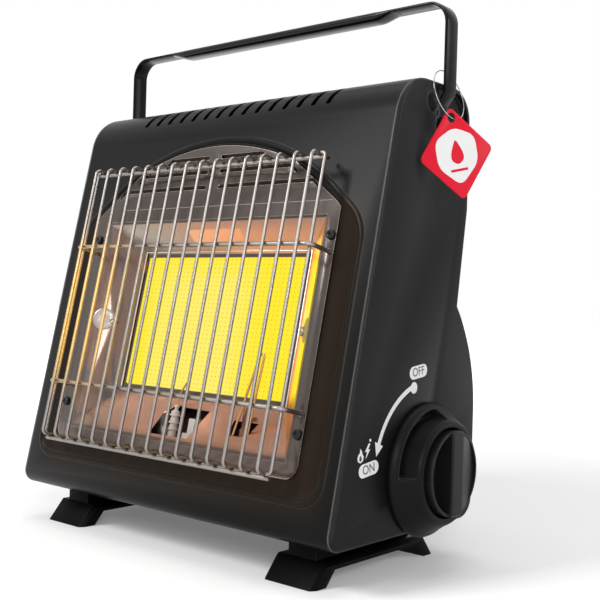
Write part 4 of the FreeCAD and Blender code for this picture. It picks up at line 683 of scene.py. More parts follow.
def steel_finish(wires):
    """The dish's tones by wall, floor and top, which are painted reflection of the burner's glow, a painted
    highlight along its rim, and emission that paints the fire's reflection in its faces.
    """
    across, up, into = wires.node("ShaderNodeGroup", node_tree=slope_place)
    in_dish = wires.band(into, *IN_DISH)
    to_wall = wires.math("MULTIPLY_ADD", into, WALL_IN / DISH_DEEP, wires.math("ABSOLUTE", across))
    to_floor = wires.math("MULTIPLY_ADD", into, FLOOR_UP / DISH_DEEP, DISH_LOW)
    to_top = wires.math("MULTIPLY_ADD", into, TOP_DOWN / DISH_DEEP, -DISH_HIGH)
    gaps = (wires.math("SUBTRACT", to_wall, DISH_HALF), wires.math("SUBTRACT", to_floor, up),
            wires.math("ADD", to_top, up))
    on_wall, on_floor, on_top = (wires.times(wires.band(gap, *AT_FACE), in_dish) for gap in gaps)
    left_wall = wires.times(on_wall, wires.band(across, *AT_LEFT))
    right_wall = wires.times(on_wall, wires.band(across, *AT_RIGHT))
    streaks = wires.times(wires.band(wires.cloud(1.0, STREAK_STRETCH, 1.0), *STREAKS), STREAK_SHARE)
    patches = wires.cloud(PATCH_SCALE, detail=1.0)
    top_tone = wires.mix(wires.band(across, *TOP_WARM), *TOP_TONES)
    greenish = wires.times(wires.band(across, *TOP_GREENISH), TOP_GREEN_SHARE)
    top_tone = wires.mix(greenish, top_tone, TOP_GREEN)
    seam = wires.times(wires.band(across, *SEAM_ACROSS), wires.band(into, *SEAM_INTO), SEAM_SHARE)
    top_tone = wires.mix(seam, top_tone, SEAM_TONE)
    tone = wires.mix(wires.band(up, *RIM_UP), STEEL_COOL, STEEL_RIM)
    tone = wires.mix(on_floor, tone, wires.mix(wires.band(across, *FLOOR_WARM), *FLOOR_TONES))
    tone = wires.mix(on_top, tone, top_tone)
    tone = wires.mix(on_wall, tone, wires.mix(streaks, *WALL_TONES))
    # A painted highlight along the flange's edges and folds, outside the dish.
    light, width, share = STEEL_EDGE_HIGHLIGHT
    outside = wires.times(painted_highlight_mask(wires, width, share), wires.math("SUBTRACT", 1.0, in_dish))
    wires.shade({"Base Color": wires.mix(outside, tone, light)})
    # Emission paints the fire's reflection on the right wall, its corners, the left wall and the top.
    beside = wires.times(right_wall, wires.band(up, *FIRE_UP))
    fire_reflection_colour = wires.mix(wires.times(wires.band(into, *FIRE_YELLOW_INTO), beside), FIRE_ORANGE, FIRE_YELLOW)
    wander = wires.math("MULTIPLY_ADD", patches, OVER_WANDER, across)
    painted_fire_reflection = wires.most(
        wires.times(beside, wires.band(into, *FIRE_INTO)),
        wires.times(right_wall, wires.band(up, *LOW_CORNER), LOW_SHARE),
        wires.times(right_wall, wires.band(up, *HIGH_CORNER), HIGH_SHARE),
        wires.times(left_wall, wires.band(up, *LEFT_UP), wires.band(patches, *PATCHES), LEFT_SHARE),
        wires.times(on_top, wires.band(wander, *OVER_ACROSS), wires.band(into, *OVER_INTO), OVER_SHARE),
        wires.times(on_top, wires.band(across, *SPOT_ACROSS), wires.band(into, *SPOT_INTO), SPOT_SHARE))
    wires.shade({"Emission Color": wires.mix(painted_fire_reflection, (0, 0, 0), fire_reflection_colour), "Emission Strength": FIRE_REFLECTION_STRENGTH})


stainless = bare_metal("stainless", STEEL_COOL, 0.24, (25, 900, 900), 0.000003, spread=0.1)
steel_finish(Wiring(stainless.node_tree))
# Dark steel for the sooty electrode bracket, and for the leaves behind the hood's slits, where it is painted
# shade.
soot_and_shade_steel = bare_metal("soot_and_shade_steel", (0.045, 0.032, 0.026), 0.5, (700, 700, 700), 0.000008)
pad_steel = bare_metal("pad_steel", (0.40, 0.36, 0.33), 0.36, (25, 900, 900), 0.000003, spread=0.1)
# Bright steel for the dish's lip and the hood's crease, painted highlight lines.
lip_highlight_steel = bare_metal("lip_highlight_steel", (0.72, 0.68, 0.6), 0.3, (90, 900, 900), 0.0000005, spread=0.08)
crease_highlight_steel = bare_metal("crease_highlight_steel", (0.30, 0.265, 0.24), 0.34, (90, 900, 900), 0.0000005, spread=0.08)
screw_steel = bare_metal("screw_steel", (0.35, 0.3, 0.26), 0.3, (900, 900, 900), 0.000004)
black_screw = coated("black_screw", (0.012, 0.012, 0.012), 0.33, 1500.0, 0.00002, specular=0.3)


def reflector_pressing():
    """The CAD pressing with broader radii at its folds than at its cut edges."""
    work = clean_copy("reflector")
    work.normal_update()
    layer = work.edges.layers.float.new("bevel_weight_edge")
    for edge in work.edges:
        if len(edge.link_faces) == 2:
            bend = edge.calc_face_angle(0)
            edge[layer] = RIM / FOLD if bend > CUT_FROM else float(bend > FOLD_FROM)
    piece = mesh_piece("reflector_pressing", mesh_from("reflector_pressing", work), stainless)
    round_edges(piece, FOLD, 3, limit_method="WEIGHT")
    settled(piece, "reflector", sharp=PRESSING_SHARP)


def wire_row_tree():
    """Bends a line of straight runs, gives it a round section, and repeats it across."""
    tree, wires, given, result = new_group(
        "wire_row", {"Geometry": ("Geometry",), "Float": ("Wire Radius", "Bend Radius", "Pitch"),
                     "Int": ("Count",), "Material": ("Material",)},
        {"Geometry": ("Geometry",)}, "GeometryNodeTree")
    bend = wires.node("GeometryNodeFilletCurve", {"Curve": given["Geometry"], "Radius": given["Bend Radius"],
                                                  "Count": 7, "Limit Radius": True}, mode="POLY")
    section = wires.node("GeometryNodeCurvePrimitiveCircle", {"Resolution": 12,
                                                              "Radius": given["Wire Radius"]})
    tube = wires.node("GeometryNodeCurveToMesh", {"Curve": bend["Curve"], "Profile Curve": section["Curve"],
                                                  "Fill Caps": True})
    first = wires.times(wires.math("MULTIPLY_ADD", given["Count"], -0.5, 0.5), given["Pitch"])
    start, step = (wires.node("ShaderNodeCombineXYZ", {"X": x})[0] for x in (first, given["Pitch"]))
    row = wires.node("GeometryNodeMeshLine", {"Count": given["Count"], "Start Location": start, "Offset": step})
    placed = wires.node("GeometryNodeInstanceOnPoints", {"Points": row["Mesh"], "Instance": tube["Mesh"]})
    real = wires.node("GeometryNodeRealizeInstances", {"Geometry": placed["Instances"]})
    faced = wires.node("GeometryNodeSetMaterial", {"Geometry": real["Geometry"], "Material": given["Material"]})
    wires.put(faced["Geometry"], result["Geometry"])
    return tree


reflector_pressing()
wire_row = wire_row_tree()


def wire_mesh(points, radius, bend=0.0, count=1, pitch=0.0, material=None):
    """The mesh of a row of bent wires, in slope coordinates: across, up the slope, outwards."""
    line = bpy.data.curves.new("wire_line", "CURVE")
    line.dimensions = "3D"
    run = line.splines.new("POLY")
    run.points.add(len(points) - 1)
    for point, place in zip(run.points, points):
        point.co = (*place, 1)
    mesh = hardened("wire_row", line, wire_row, {"Wire Radius": radius, "Bend Radius": bend, "Pitch": pitch,
                                                 "Count": count, "Material": material})
    mesh.transform(on_slope)
    return mesh


def slit_strips(name, section, sunk, material):
    """Strips along both halves of each slit, their section (up, out) from the slit's lower edge."""
    stacks = []
    for height, half in SLITS:
        for side in (-1, 1):
            near, far, taper = side * SLIT_WEB, side * half, side * SLIT_TAPER
            stations = ((near, sunk), (near + taper, 0), (far - taper, 0), (far, sunk))
            stacks.append([[(x, height + rise, out - sink) for rise, out in section] for x, sink in stations])
    hinge = Matrix.Translation((0, HOOD_CREASE, 0))
    tilt = hinge @ Matrix.Rotation(HOOD_TILT, 4, "X") @ hinge.inverted()
    belongs(mesh_piece(name, skinned(name, stacks, on_slope @ tilt), material), "reflector", sharp=35.0)


slit_strips("hood_lips", LIP_SECTION, LIP_SUNK, stainless)
# The dark leaves behind the slits are painted shade inside the hood.
slit_strips("hood_leaves", LEAF_SECTION, 0.0, soot_and_shade_steel)
# The crease and the tile lip are thin rods whose bright steel is a painted highlight line.
crease_line = [(x, HOOD_CREASE, STEEL) for x in CREASE_ENDS]
lip_line = [(side * TILE_SIDE, DISH_LIP[high], STEEL - DISH_DEEP)
            for side, high in ((-1, 0), (1, 0), (1, 1), (-1, 1), (-1, 0))]
for name, line, radius, metal in (("hood_crease", crease_line, CREASE_RADIUS, crease_highlight_steel),
                                  ("dish_lip", lip_line, DISH_LIP_RADIUS, lip_highlight_steel)):
    belongs(joined(name, [wire_mesh(line, radius)], metal), "reflector", smooth=True)


def turned(name, profile, base, axis, sides):
    """A turned piece: (radius, height) points about an axis from a base point."""
    axis = axis.normalized()
    side = axis.orthogonal().normalized()
    other = axis.cross(side)
    turns = [2 * pi * i / sides for i in range(sides)]
    return skinned(name, [[[base + axis * height + side * radius * cos(turn) + other * radius * sin(turn)
                            for turn in turns] for radius, height in profile]])


def wall_pads():
    """A shallow round pad pressed in each side wall of the dish, beside its screw."""
    screw_points = [v.co for v in frame["nodes"]["dish_screws"].data.vertices]
    profile = [(PAD_RADIUS * share, height) for share, height in PAD_PROFILE]
    meshes = []
    for side in (-1, 1):
        own = [p for p in screw_points if (p.x - FRONT_FOOT.x) * side > 0]
        screw = on_slope.inverted() @ (sum(own, Vector()) / len(own))
        on_wall = Vector((side * (DISH_HALF + screw.z * WALL_IN / DISH_DEEP), screw.y, screw.z))
        seat = on_wall + Vector((side * WALL_IN, 0, DISH_DEEP)).normalized() * PAD_AHEAD
        facing = on_slope.to_3x3() @ Vector((-side * DISH_DEEP, 0, WALL_IN))
        meshes.append(turned("wall_pad", profile, on_slope @ seat, facing, 32))
    belongs(joined("wall_pads", meshes, pad_steel), "reflector", sharp=50.0)


wall_pads()
finished("frame_screws", "reflector_screws", black_screw, SCREW_EDGE)
finished("wall_screws", "dish_screws", screw_steel, SCREW_EDGE)

# The guard is nickel-plated round wire, welded where wires cross: sixteen bent uprights, two side wires,
# two cross wires whose ends hook into the frame, and a rail along the top and bottom.
WIRE_GREY = (0.30, 0.275, 0.26)
# painted firelight: a warm colour for the burner's light on the wires in front of the tile
WIRE_FIRELIGHT = (0.70, 0.45, 0.18)
WIRE_FIRELIGHT_ACROSS, WIRE_FIRELIGHT_UP = (-0.12, -0.062, 0.03), (0.09, 0.128, 0.045)
WIRE_SHARP = 50.0
WIRE_RADIUS = 0.001
RAIL_RADIUS = 0.0012
CROSS_RADIUS = 0.0013
WELD = 0.00002
UPRIGHTS = 16
UPRIGHT_PITCH = 0.01194
UPRIGHT_BEND = 0.003
GUARD_OUT = 0.019
GUARD_LOW, GUARD_HIGH = 0.0312, 0.2008
LOW_HOOK, HIGH_HOOK = 0.008, 0.014
RAIL_OUT = 0.0125
RAIL_STEP = WIRE_RADIUS + RAIL_RADIUS + WELD
FIX_X = 0.0964
CROSS_HEIGHTS = (0.0642, 0.1502)
CROSS_OUT = GUARD_OUT - WIRE_RADIUS - CROSS_RADIUS - WELD
CROSS_IN, CROSS_BEND = -0.004, 0.004
SIDE_OUT = 0.0135
SIDE_X = FIX_X - CROSS_RADIUS - WIRE_RADIUS - WELD
SIDE_HOOK, SIDE_BEND = 0.0028, 0.0022
RAIL_END = SIDE_X - WIRE_RADIUS - 0.0002

nickel_wire = bare_metal("nickel_wire", WIRE_GREY, 0.36, (90, 90, 90), 0.0000005, spread=0.08)
wires = Wiring(nickel_wire.node_tree)
across, up, into = wires.node("ShaderNodeGroup", node_tree=slope_place)
# Wires in front of the tile take a warm colour that paints the burner's firelight.
wire_firelight = wires.times(wires.band(across, *WIRE_FIRELIGHT_ACROSS), wires.band(up, *WIRE_FIRELIGHT_UP))
wires.shade({"Base Color": wires.mix(wire_firelight, WIRE_GREY, WIRE_FIRELIGHT)})

upright = [(0, GUARD_LOW, GUARD_OUT - LOW_HOOK), (0, GUARD_LOW, GUARD_OUT), (0, GUARD_HIGH, GUARD_OUT),
           (0, GUARD_HIGH, GUARD_OUT - HIGH_HOOK)]
side_wires = [[(side * (SIDE_X - hook), height, SIDE_OUT) for hook, height in (
    (SIDE_HOOK, GUARD_LOW), (0, GUARD_LOW), (0, GUARD_HIGH), (SIDE_HOOK, GUARD_HIGH))] for side in (-1, 1)]
rails = [[(-RAIL_END, height - RAIL_STEP, RAIL_OUT), (RAIL_END, height - RAIL_STEP, RAIL_OUT)]
         for height in (GUARD_LOW, GUARD_HIGH)]
cross_wires = [[(-FIX_X, height, CROSS_IN), (-FIX_X, height, CROSS_OUT), (FIX_X, height, CROSS_OUT),
                (FIX_X, height, CROSS_IN)] for height in CROSS_HEIGHTS]
for name, node, lines, *wire in (
        ("guard_uprights", "guard_front_wires", [upright], WIRE_RADIUS, UPRIGHT_BEND, UPRIGHTS, UPRIGHT_PITCH),
        ("guard_side_uprights", "guard_side_wires", side_wires, WIRE_RADIUS, SIDE_BEND),
        ("guard_long_rails", "guard_rails", rails, RAIL_RADIUS),
        ("guard_cross_bars", "guard_cross_wires", cross_wires, CROSS_RADIUS, CROSS_BEND)):
    settled(joined(name, [wire_mesh(line, *wire) for line in lines], nickel_wire), node, sharp=WIRE_SHARP)

# The burner tile is a block of perforated ceramic. Lit, its face glows yellow, with the small holes a
# shade darker; a strip of ceramic fibre seals its edge.
TILE_LOW = 0.0708
TILE_TALL = 0.0815
TILE_FACE = 0.0184
TILE_THICK = 0.012
HOLE_PITCH = (0.0033, 0.002717)
HOLES = (40, 30)
HOLE_RADIUS = 0.0005
HOLE_DEPTH = 0.0009
MERGE = 0.00001
GLOW = 1.0
HOLE_GLOW = 0.92
TILE_DULL, HOLE_DULL = (0.06, 0.05, 0.01), (0.05, 0.03, 0.005)
TILE_YELLOW, TILE_PALE = (0.97, 0.79, 0.03), (0.96, 0.82, 0.15)
HOLE_TONES = ((0.35, (0.80, 0.62, 0.02, 1)), (0.65, (0.88, 0.70, 0.04, 1)))
PALE_STRETCH, PALE_BANDS = (70, 8, 8), (0.42, 0.9, 0.16)
PALE_ACROSS, PALE_UP = (-0.035, 0.01, 0.035), (0.06, 0.13, 0.03)
# painted light from the tile falling on the fibre strip, given as emission
FIBRE_TILE_LIGHT, FIBRE_TILE_LIGHT_STRENGTH = (0.62, 0.34, 0.14, 1), 0.25

glowing_ceramic, wires = fresh_material("glowing_ceramic", TILE_DULL, 0.9, specular=0.0)
across, up, into = wires.node("ShaderNodeGroup", node_tree=slope_place)
pale = wires.times(wires.band(across, *PALE_ACROSS), wires.band(up, *PALE_UP),
                   wires.band(wires.cloud(1.0, PALE_STRETCH, 2.0), *PALE_BANDS))
wires.shade({"Emission Color": wires.mix(pale, TILE_YELLOW, TILE_PALE), "Emission Strength": GLOW})
glowing_holes, wires = fresh_material("glowing_holes", HOLE_DULL, 0.9, specular=0.0)
hole_tone = wires.node("ShaderNodeValToRGB", {"Fac": wires.cloud(300.0, detail=2.0)})["Color"]
for stop, (position, colour) in zip(hole_tone.node.color_ramp.elements, HOLE_TONES):
    stop.position = position
    stop.color = colour
wires.shade({"Emission Color": hole_tone, "Emission Strength": HOLE_GLOW})


def tile_cell():
    """One cell of the tile's face: a flat square with a hole sunk in its middle."""
    work = bmesh.new()
    half_x, half_t = (pitch / 2 for pitch in HOLE_PITCH)
    square = [(half_x, -half_t), (half_x, half_t), (-half_x, half_t), (-half_x, -half_t)]
    corners = [work.verts.new((x, t, 0)) for x, t in square]
    turns = [radians(45 * i - 67.5) for i in range(8)]
    rim = [work.verts.new((HOLE_RADIUS * cos(turn), HOLE_RADIUS * sin(turn), 0)) for turn in turns]
    deep = [work.verts.new((v.co.x, v.co.y, -HOLE_DEPTH)) for v in rim]
    for i in range(4):
        work.faces.new((corners[i], rim[2 * i + 1], rim[2 * i]))
        work.faces.new((corners[i], corners[(i + 1) % 4], rim[(2 * i + 2) % 8], rim[2 * i + 1]))
    walls = [work.faces.new((rim[i], rim[(i + 1) % 8], deep[(i + 1) % 8], deep[i])) for i in range(8)]
    for face in walls + [work.faces.new(deep)]:
        face.material_index = 1
    bmesh.ops.recalc_face_normals(work, faces=work.faces)
    if work.faces[0].normal.z < 0:
        bmesh.ops.reverse_faces(work, faces=work.faces)
    cell = mesh_from("tile_cell", work)
    cell.materials.append(glowing_ceramic)
    cell.materials.append(glowing_holes)
    return cell


def grid_tree():
    """Repeats a cell over a grid across and up."""
    tree, wires, given, result = new_group(
        "cell_grid", {"Geometry": ("Geometry",), "Float": ("Pitch Across", "Pitch Up"),
                      "Int": ("Count Across", "Count Up"), "Material": ("Face Material",)},
        {"Geometry": ("Geometry",)}, "GeometryNodeTree")
    sizes = {}
    for way, course in (("X", "Across"), ("Y", "Up")):
        count = given["Count " + course]
        sizes["Size " + way] = wires.times(wires.math("SUBTRACT", count, 1.0), given["Pitch " + course])
        sizes["Vertices " + way] = count
    grid = wires.node("GeometryNodeMeshGrid", sizes)
    placed = wires.node("GeometryNodeInstanceOnPoints", {"Points": grid["Mesh"],
                                                         "Instance": given["Geometry"]})
    real = wires.node("GeometryNodeRealizeInstances", {"Geometry": placed["Instances"]})
    merged = wires.node("GeometryNodeMergeByDistance", {"Geometry": real["Geometry"], "Distance": MERGE})
    first_slot = wires.node("GeometryNodeInputMaterialIndex")[0]
    is_face = wires.node("FunctionNodeCompare", {}, data_type="INT", operation="EQUAL")[0]
    wires.put(first_slot, is_face.node.inputs["A"])
    faced = wires.node("GeometryNodeSetMaterial", {"Geometry": merged["Geometry"], "Selection": is_face,
                                                   "Material": given["Face Material"]})
    wires.put(faced["Geometry"], result["Geometry"])
    return tree


def moved_verts(grown):
    return [v for v in grown["geom"] if isinstance(v, bmesh.types.BMVert)]


def open_edges(work):
    return [edge for edge in work.edges if len(edge.link_faces) == 1]


def glowing_tile():
    """The whole tile: the perforated face, with sides and a back."""
    face = hardened("cell_grid", tile_cell(), grid_tree(), {
        "Pitch Across": HOLE_PITCH[0], "Pitch Up": HOLE_PITCH[1], "Count Across": HOLES[0],
        "Count Up": HOLES[1], "Face Material": glowing_ceramic})
    face.transform(Matrix.Translation((0, TILE_LOW + TILE_TALL / 2, -TILE_FACE)))
    work = bmesh.new()
    work.from_mesh(face)
    walls = bmesh.ops.extrude_edge_only(work, edges=open_edges(work))
    bmesh.ops.translate(work, verts=moved_verts(walls), vec=(0, 0, -TILE_THICK))
    bmesh.ops.edgeloop_fill(work, edges=open_edges(work))
    bmesh.ops.recalc_face_normals(work, faces=work.faces)
    mesh = mesh_from("glowing_tile", work)
    mesh.transform(on_slope)
    mesh.materials.append(glowing_ceramic)
    mesh.materials.append(glowing_holes)
    belongs(mesh_piece("glowing_tile", mesh), "ceramic_tile", stands_in=True)


glowing_tile()
fibre = coated("ceramic_fibre", (0.75, 0.70, 0.6), 0.9, 2600.0, 0.0002, tone=0.3)
# Emission on the fibre paints the tile's light falling on it.
Wiring(fibre.node_tree).shade({"Emission Color": FIBRE_TILE_LIGHT, "Emission Strength": FIBRE_TILE_LIGHT_STRENGTH})
finished("fibre_strip", "tile_gasket", fibre, 0.0003)

# Electrodes in the dish floor: a ridged white insulator with its steel pin, a white clip block, a copper
# sensor and a loop of wire in front of the tile, all held by a plated bracket under the floor.
ELECTRODE_AT = Vector((-0.011, 0.028, -0.014))
RIDGES = ((0.0170, 0.0031), (0.0210, 0.0034), (0.0254, 0.0034))
PIN_LINE = [(-0.011, 0.060, -0.014), (-0.011, 0.066, -0.014), (-0.005, 0.074, -0.0125)]
PIN_RADIUS, PIN_BEND = 0.0005, 0.003
STEP_ACROSS, STEP_UP = 0.42, 0.62
BLOCK_EDGE = 0.0006
PLATE_EDGE = 0.0002
glaze = coated("white_glaze", (0.62, 0.54, 0.49), 0.25, 500.0, 0.00001, tone=0.12)
plated = bare_metal("zinc_plate", (0.40, 0.40, 0.39), 0.36, (700, 700, 700), 0.000008)
copper = bare_metal("warm_copper", (0.13, 0.06, 0.035), 0.4, (700, 700, 700), 0.000006)
hot_wire = bare_metal("hot_wire", (0.55, 0.30, 0.14), 0.38, (900, 900, 900), 0.000004)
silicone = coated("silicone_lead", (0.55, 0.53, 0.5), 0.5, 900.0, 0.00004)

insulator = [(0.0024, 0.0), (0.0027, 0.0012), (0.0027, 0.0166)]
for level, wide in RIDGES:
    insulator += [(0.0023, level), (0.0023, level + 0.0005), (wide, level + 0.0008), (wide, level + 0.0017),
                  (0.0026, level + 0.0021), (0.0027, level + 0.0034)]
insulator += [(0.0024, 0.0292), (0.0012, 0.0296), (0.0012, 0.0312), (0.0017, 0.0315), (0.0017, 0.0326),
              (0.0008, 0.0329)]
up_slope = on_slope.to_3x3() @ Vector((0, 1, 0))
ceramic_rod = turned("insulator", insulator, on_slope @ ELECTRODE_AT, up_slope, 24)
settled(joined("ridged_electrode", [ceramic_rod], glaze), "spark_electrode", sharp=35.0)
steel_pin = joined("steel_pin", [wire_mesh(PIN_LINE, PIN_RADIUS, PIN_BEND)], hot_wire)
belongs(steel_pin, "spark_electrode", smooth=True)


def stepped_block():
    """The clip block with its step: a broad foot and a narrower head set to the right."""
    points = [on_slope.inverted() @ v.co for v in frame["nodes"]["electrode_block"].data.vertices]
    low, high = (Vector([end(p[i] for p in points) for i in range(3)]) for end in (min, max))
    step_x, step_y = low.x + (high.x - low.x) * STEP_ACROSS, low.y + (high.y - low.y) * STEP_UP
    outline = [(low.x, low.y), (high.x, low.y), (high.x, high.y), (step_x, high.y), (step_x, step_y),
               (low.x, step_y)]
    rings = [[(x, y, z) for x, y in outline] for z in (low.z, high.z)]
    piece = mesh_piece("stepped_block", skinned("stepped_block", [rings], on_slope), glaze)
    round_edges(piece, BLOCK_EDGE, 3)
    settled(piece, "electrode_block", sharp=40.0)


stepped_block()
finished("copper_sensor", "flame_sensor", copper, 0.0003)
finished("loop_wire", "ignition_loop", hot_wire, sharp=WIRE_SHARP)
finished("electrode_plate", "electrode_bracket", soot_and_shade_steel, PLATE_EDGE)
finished("spark_lead", "ignition_lead", silicone, sharp=WIRE_SHARP)
finished("sensor_tube", "sensor_lead", copper, sharp=WIRE_SHARP)

# The gas train behind the dish: burner box, mixing tube, injector, pipe, valve, regulator, collar and
# the spark unit. Sheet and tube are aluminised steel, the castings bare aluminium, the jet brass.
aluminised = bare_metal("aluminised_steel", (0.50, 0.50, 0.49), 0.38, (500, 500, 60), 0.000008,
                        tint=((0.50, 0.46, 0.42), (0.46, 0.40, 0.34), 0.1))
cast_alloy = coated("cast_alloy", (0.42, 0.42, 0.42), 0.5, 1100.0, 0.00008, metallic=1.0)
soft_alloy = bare_metal("soft_alloy", (0.6, 0.6, 0.6), 0.35, (500, 500, 500), 0.000006)
brass = bare_metal("brass", (0.62, 0.45, 0.18), 0.3, (60, 900, 900), 0.000006)
black_plastic = coated("black_plastic", (0.009, 0.009, 0.0095), 0.42, 1300.0, 0.00005, specular=0.25)
for row in (
        ("burner_box", "burner_housing", aluminised, 0.0003),
        ("venturi_tube", "mixing_tube", aluminised, 0.0002),
        ("brass_jet", "injector", brass, 0.0002),
        ("supply_pipe", "gas_pipe", soft_alloy, 0.0, WIRE_SHARP),
        ("valve_casting", "valve_body", cast_alloy, 0.0004),
        ("regulator_can", "regulator", cast_alloy, 0.0004),
        ("collar_ring", "cartridge_collar", black_plastic, 0.0005),
        ("spark_unit", "piezo_igniter", black_plastic, 0.0004)):
    finished(*row)
finished("stem_rod", "valve_stem", brass, 0.0003, body="knob")

# The cartridge bay at the back: a plated heat shield and a plated cradle, and a painted sheet cover that
# turns on two pins along its lower edge and is held shut by a sliding plastic latch. Screws hold it all.
finished("shield_sheet", "heat_shield", plated, PLATE_EDGE)
finished("cradle_trough", "cartridge_cradle", plated, PLATE_EDGE)
finished("rear_cover", "cartridge_door", black_coat, SHEET_EDGE, body="door")
finished("cover_pins", "door_hinge_pins", plated, PLATE_EDGE)
finished("cover_latch", "door_latch", black_plastic, 0.0003, body="latch")
finished("back_screws", "rear_screws", black_screw, SCREW_EDGE)
finished("ground_screws", "foot_screws", plated, PLATE_EDGE)

# The gas knob turns in a moulded shroud on the right panel. Both are black nylon with a fine moulded
# grain; the shroud is open between nine and twelve o'clock, and the knob has one broad grip ridge.
MOULDED_SHARP = 38.0
# Both carry a lighter colour along their rims as a painted highlight.
shroud_plastic = coated("shroud_plastic", (0.005, 0.005, 0.0051), 0.42, 1300.0, 0.00004, specular=0.11,
                        edge_highlight=((0.07, 0.07, 0.07), 0.0006, 0.8))
knob_plastic = coated("knob_plastic", (0.007, 0.007, 0.0072), 0.38, 1300.0, 0.00004, specular=0.15,
                      edge_highlight=((0.045, 0.045, 0.045), 0.0006, 0.7))
finished("shroud_moulding", "knob_shroud", shroud_plastic, 0.0004, MOULDED_SHARP)
finished("knob_moulding", "control_knob", knob_plastic, 0.00045, MOULDED_SHARP, "knob")

# The handle is one bent steel strap in gloss black, with a soft grip along its bar, turning on a screw
# at each side. The grip is an oval sleeve of rubber that narrows to the strap at both ends.
GRIP_WIDE, GRIP_TALL = 0.0066, 0.0031
END_WIDE, END_TALL, END_LONG = 0.0058, 0.0010, 0.015
GRIP_SQUARE = 2.6
GRIP_SPARE = (0.004, 0.007)
GRIP_SIDES, GRIP_STEPS = 40, 8
STRAP_TOP = 0.0009
gloss_coat = coated("gloss_coat", (0.003, 0.003, 0.003), 0.2, 500.0, 0.00001, specular=0.09)
grip_rubber = coated("grip_rubber", (0.004, 0.004, 0.004), 0.2, 1600.0, 0.00001, specular=0.22)
finished("bent_strap", "handle_strap", gloss_coat, 0.0004, body="handle")


def squared(wave):
    """A circle's sine or cosine, pushed out towards a square."""
    return abs(wave) ** (2 / GRIP_SQUARE) * (1 if wave > 0 else -1)


def bar_grip():
    """A grip of rounded section that narrows to the strap at both ends."""
    low, high = (Vector(corner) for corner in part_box("handle_grip"))
    middle_y, full_z = (low.y + high.y) / 2, (low.z + high.z) / 2
    strap_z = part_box("handle_strap")[1][2] - STRAP_TOP
    stations = []
    for step in range(GRIP_STEPS + 1):
        share = step / GRIP_STEPS
        blend = share * share * (3 - 2 * share)
        stations.append((END_LONG * share, END_WIDE + (GRIP_WIDE - END_WIDE) * blend,
                         END_TALL + (GRIP_TALL - END_TALL) * blend, strap_z + (full_z - strap_z) * blend))
    places = [(low.x - GRIP_SPARE[0] + reach, *rest) for reach, *rest in stations]
    places += [(high.x + GRIP_SPARE[1] - reach, *rest) for reach, *rest in stations[::-1]]
    turns = [2 * pi * i / GRIP_SIDES for i in range(GRIP_SIDES)]
    rings = [[(x, middle_y + wide * squared(cos(turn)), z + tall * squared(sin(turn))) for turn in turns]
             for x, wide, tall, z in places]
    piece = mesh_piece("rounded_grip", skinned("rounded_grip", [rings]), grip_rubber)
    settled(piece, "handle_grip", "handle", 45.0)


bar_grip()
finished("handle_screws", "pivot_screws", black_screw, 0.00015)

# The tag is a red card with a white field and a plain drop over a line printed on both its faces. It hangs
# through a hole in its top corner from a thin ring of bright wire round the handle's right arm.
TAG_RED = (0.78, 0.012, 0.035)
TAG_WHITE = (0.88, 0.87, 0.87)
TAG_THICK = 0.0006
TAG_EDGE = 0.00012
TAG_ROLL = radians(-31.4)
TAG_SIDE = 0.0362
TAG_HOLE_IN = 0.006
PRINT_SUNK = 0.0001
# outline in (across, down) from the card's middle, corner radius, lift
FIELD = ([(-0.0140, -0.0085), (0.0, -0.0145), (0.0140, -0.0085), (0.0140, 0.0062), (0.0, 0.0175),
          (-0.0140, 0.0062)], 0.005, 0.00005)
DROP = ([(0.0, -0.0085), (0.0042, -0.0005), (0.0044, 0.0034), (0.0, 0.0062), (-0.0044, 0.0034),
         (-0.0042, -0.0005)], 0.0028, 0.0001)
LINE = ([(-0.0060, 0.0082), (0.0060, 0.0082), (0.0060, 0.0096), (-0.0060, 0.0096)], 0.0006, 0.0001)
ROUND_STEPS = 5
tag_joint = next(joint for joint in frame["joints"] if joint["name"] == "tag_swing")
tag_normal = Vector(tag_joint["axis"]).normalized()
tag_level = Vector((-tag_normal.y, tag_normal.x, 0))
tag_right = tag_level * cos(TAG_ROLL) + Vector((0, 0, sin(TAG_ROLL)))
tag_left = tag_level * sin(TAG_ROLL) - Vector((0, 0, cos(TAG_ROLL)))
tag_down = (tag_right + tag_left).normalized()
tag_across = (tag_right - tag_left).normalized()
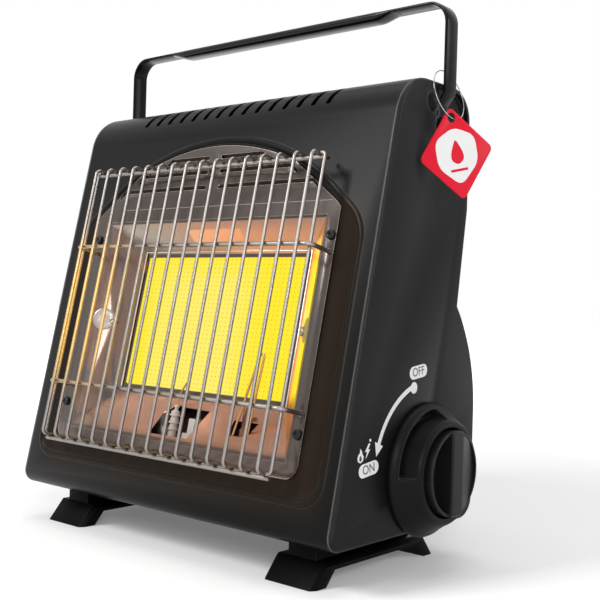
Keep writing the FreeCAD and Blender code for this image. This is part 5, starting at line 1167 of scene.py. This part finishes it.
tag_middle = Vector(tag_joint["pos_m"]) + tag_down * (TAG_SIDE * sqrt(0.5) - TAG_HOLE_IN)

red_card = coated("red_card", TAG_RED, 0.4, 300.0, 0.00001, tone=0.08, specular=0.15)
white_print = coated("white_print", TAG_WHITE, 0.38, 300.0, 0.00001, tone=0.05)
red_print = coated("red_print", TAG_RED, 0.4, 300.0, 0.00001, tone=0.05, specular=0.15)
bright_wire = bare_metal("bright_wire", (0.34, 0.34, 0.35), 0.2, (300, 300, 300), 0.0000005)
finished("tag_card", "hang_tag", red_card, TAG_EDGE, body="tag")


def rounded(points, radius):
    """An outline with its corners rounded."""
    result = []
    for i in range(len(points)):
        here = Vector(points[i])
        before, after = (Vector(points[k]) - here for k in (i - 1, (i + 1) % len(points)))
        reach = min(radius, before.length / 2.2, after.length / 2.2)
        start, end = here + before.normalized() * reach, here + after.normalized() * reach
        for share in (step / ROUND_STEPS for step in range(ROUND_STEPS + 1)):
            result.append(start * (1 - share) ** 2 + here * 2 * share * (1 - share) + end * share ** 2)
    return result


for name, (outline, radius, lift), ink in (("tag_field", FIELD, white_print), ("tag_drop", DROP, red_print),
                                           ("tag_line", LINE, red_print)):
    flat = [tag_middle + tag_across * spot.x + tag_down * spot.y for spot in rounded(outline, radius)]
    prints = [[[point + tag_normal * side * depth for point in flat]
               for depth in (TAG_THICK / 2 - PRINT_SUNK, TAG_THICK / 2 + lift)] for side in (-1, 1)]
    belongs(mesh_piece(name, skinned(name, prints, split=True), ink), "hang_tag", "tag")
finished("wire_ring", "tag_ring", bright_wire, sharp=60.0, body="handle")

# The feet are two moulded rails of black plastic with flat toes and a raised neck under the casing, each
# screwed to the base plate from below.
# The feet carry a lighter colour along their edges as a painted highlight.
foot_plastic = coated("foot_plastic", (0.003, 0.003, 0.003), 0.36, 1200.0, 0.00005, specular=0.04,
                      edge_highlight=((0.05, 0.05, 0.05), 0.0007, 0.7))
finished("right_foot_rail", "right_foot", foot_plastic, 0.0005)
finished("left_foot_rail", "left_foot", foot_plastic, 0.0005)
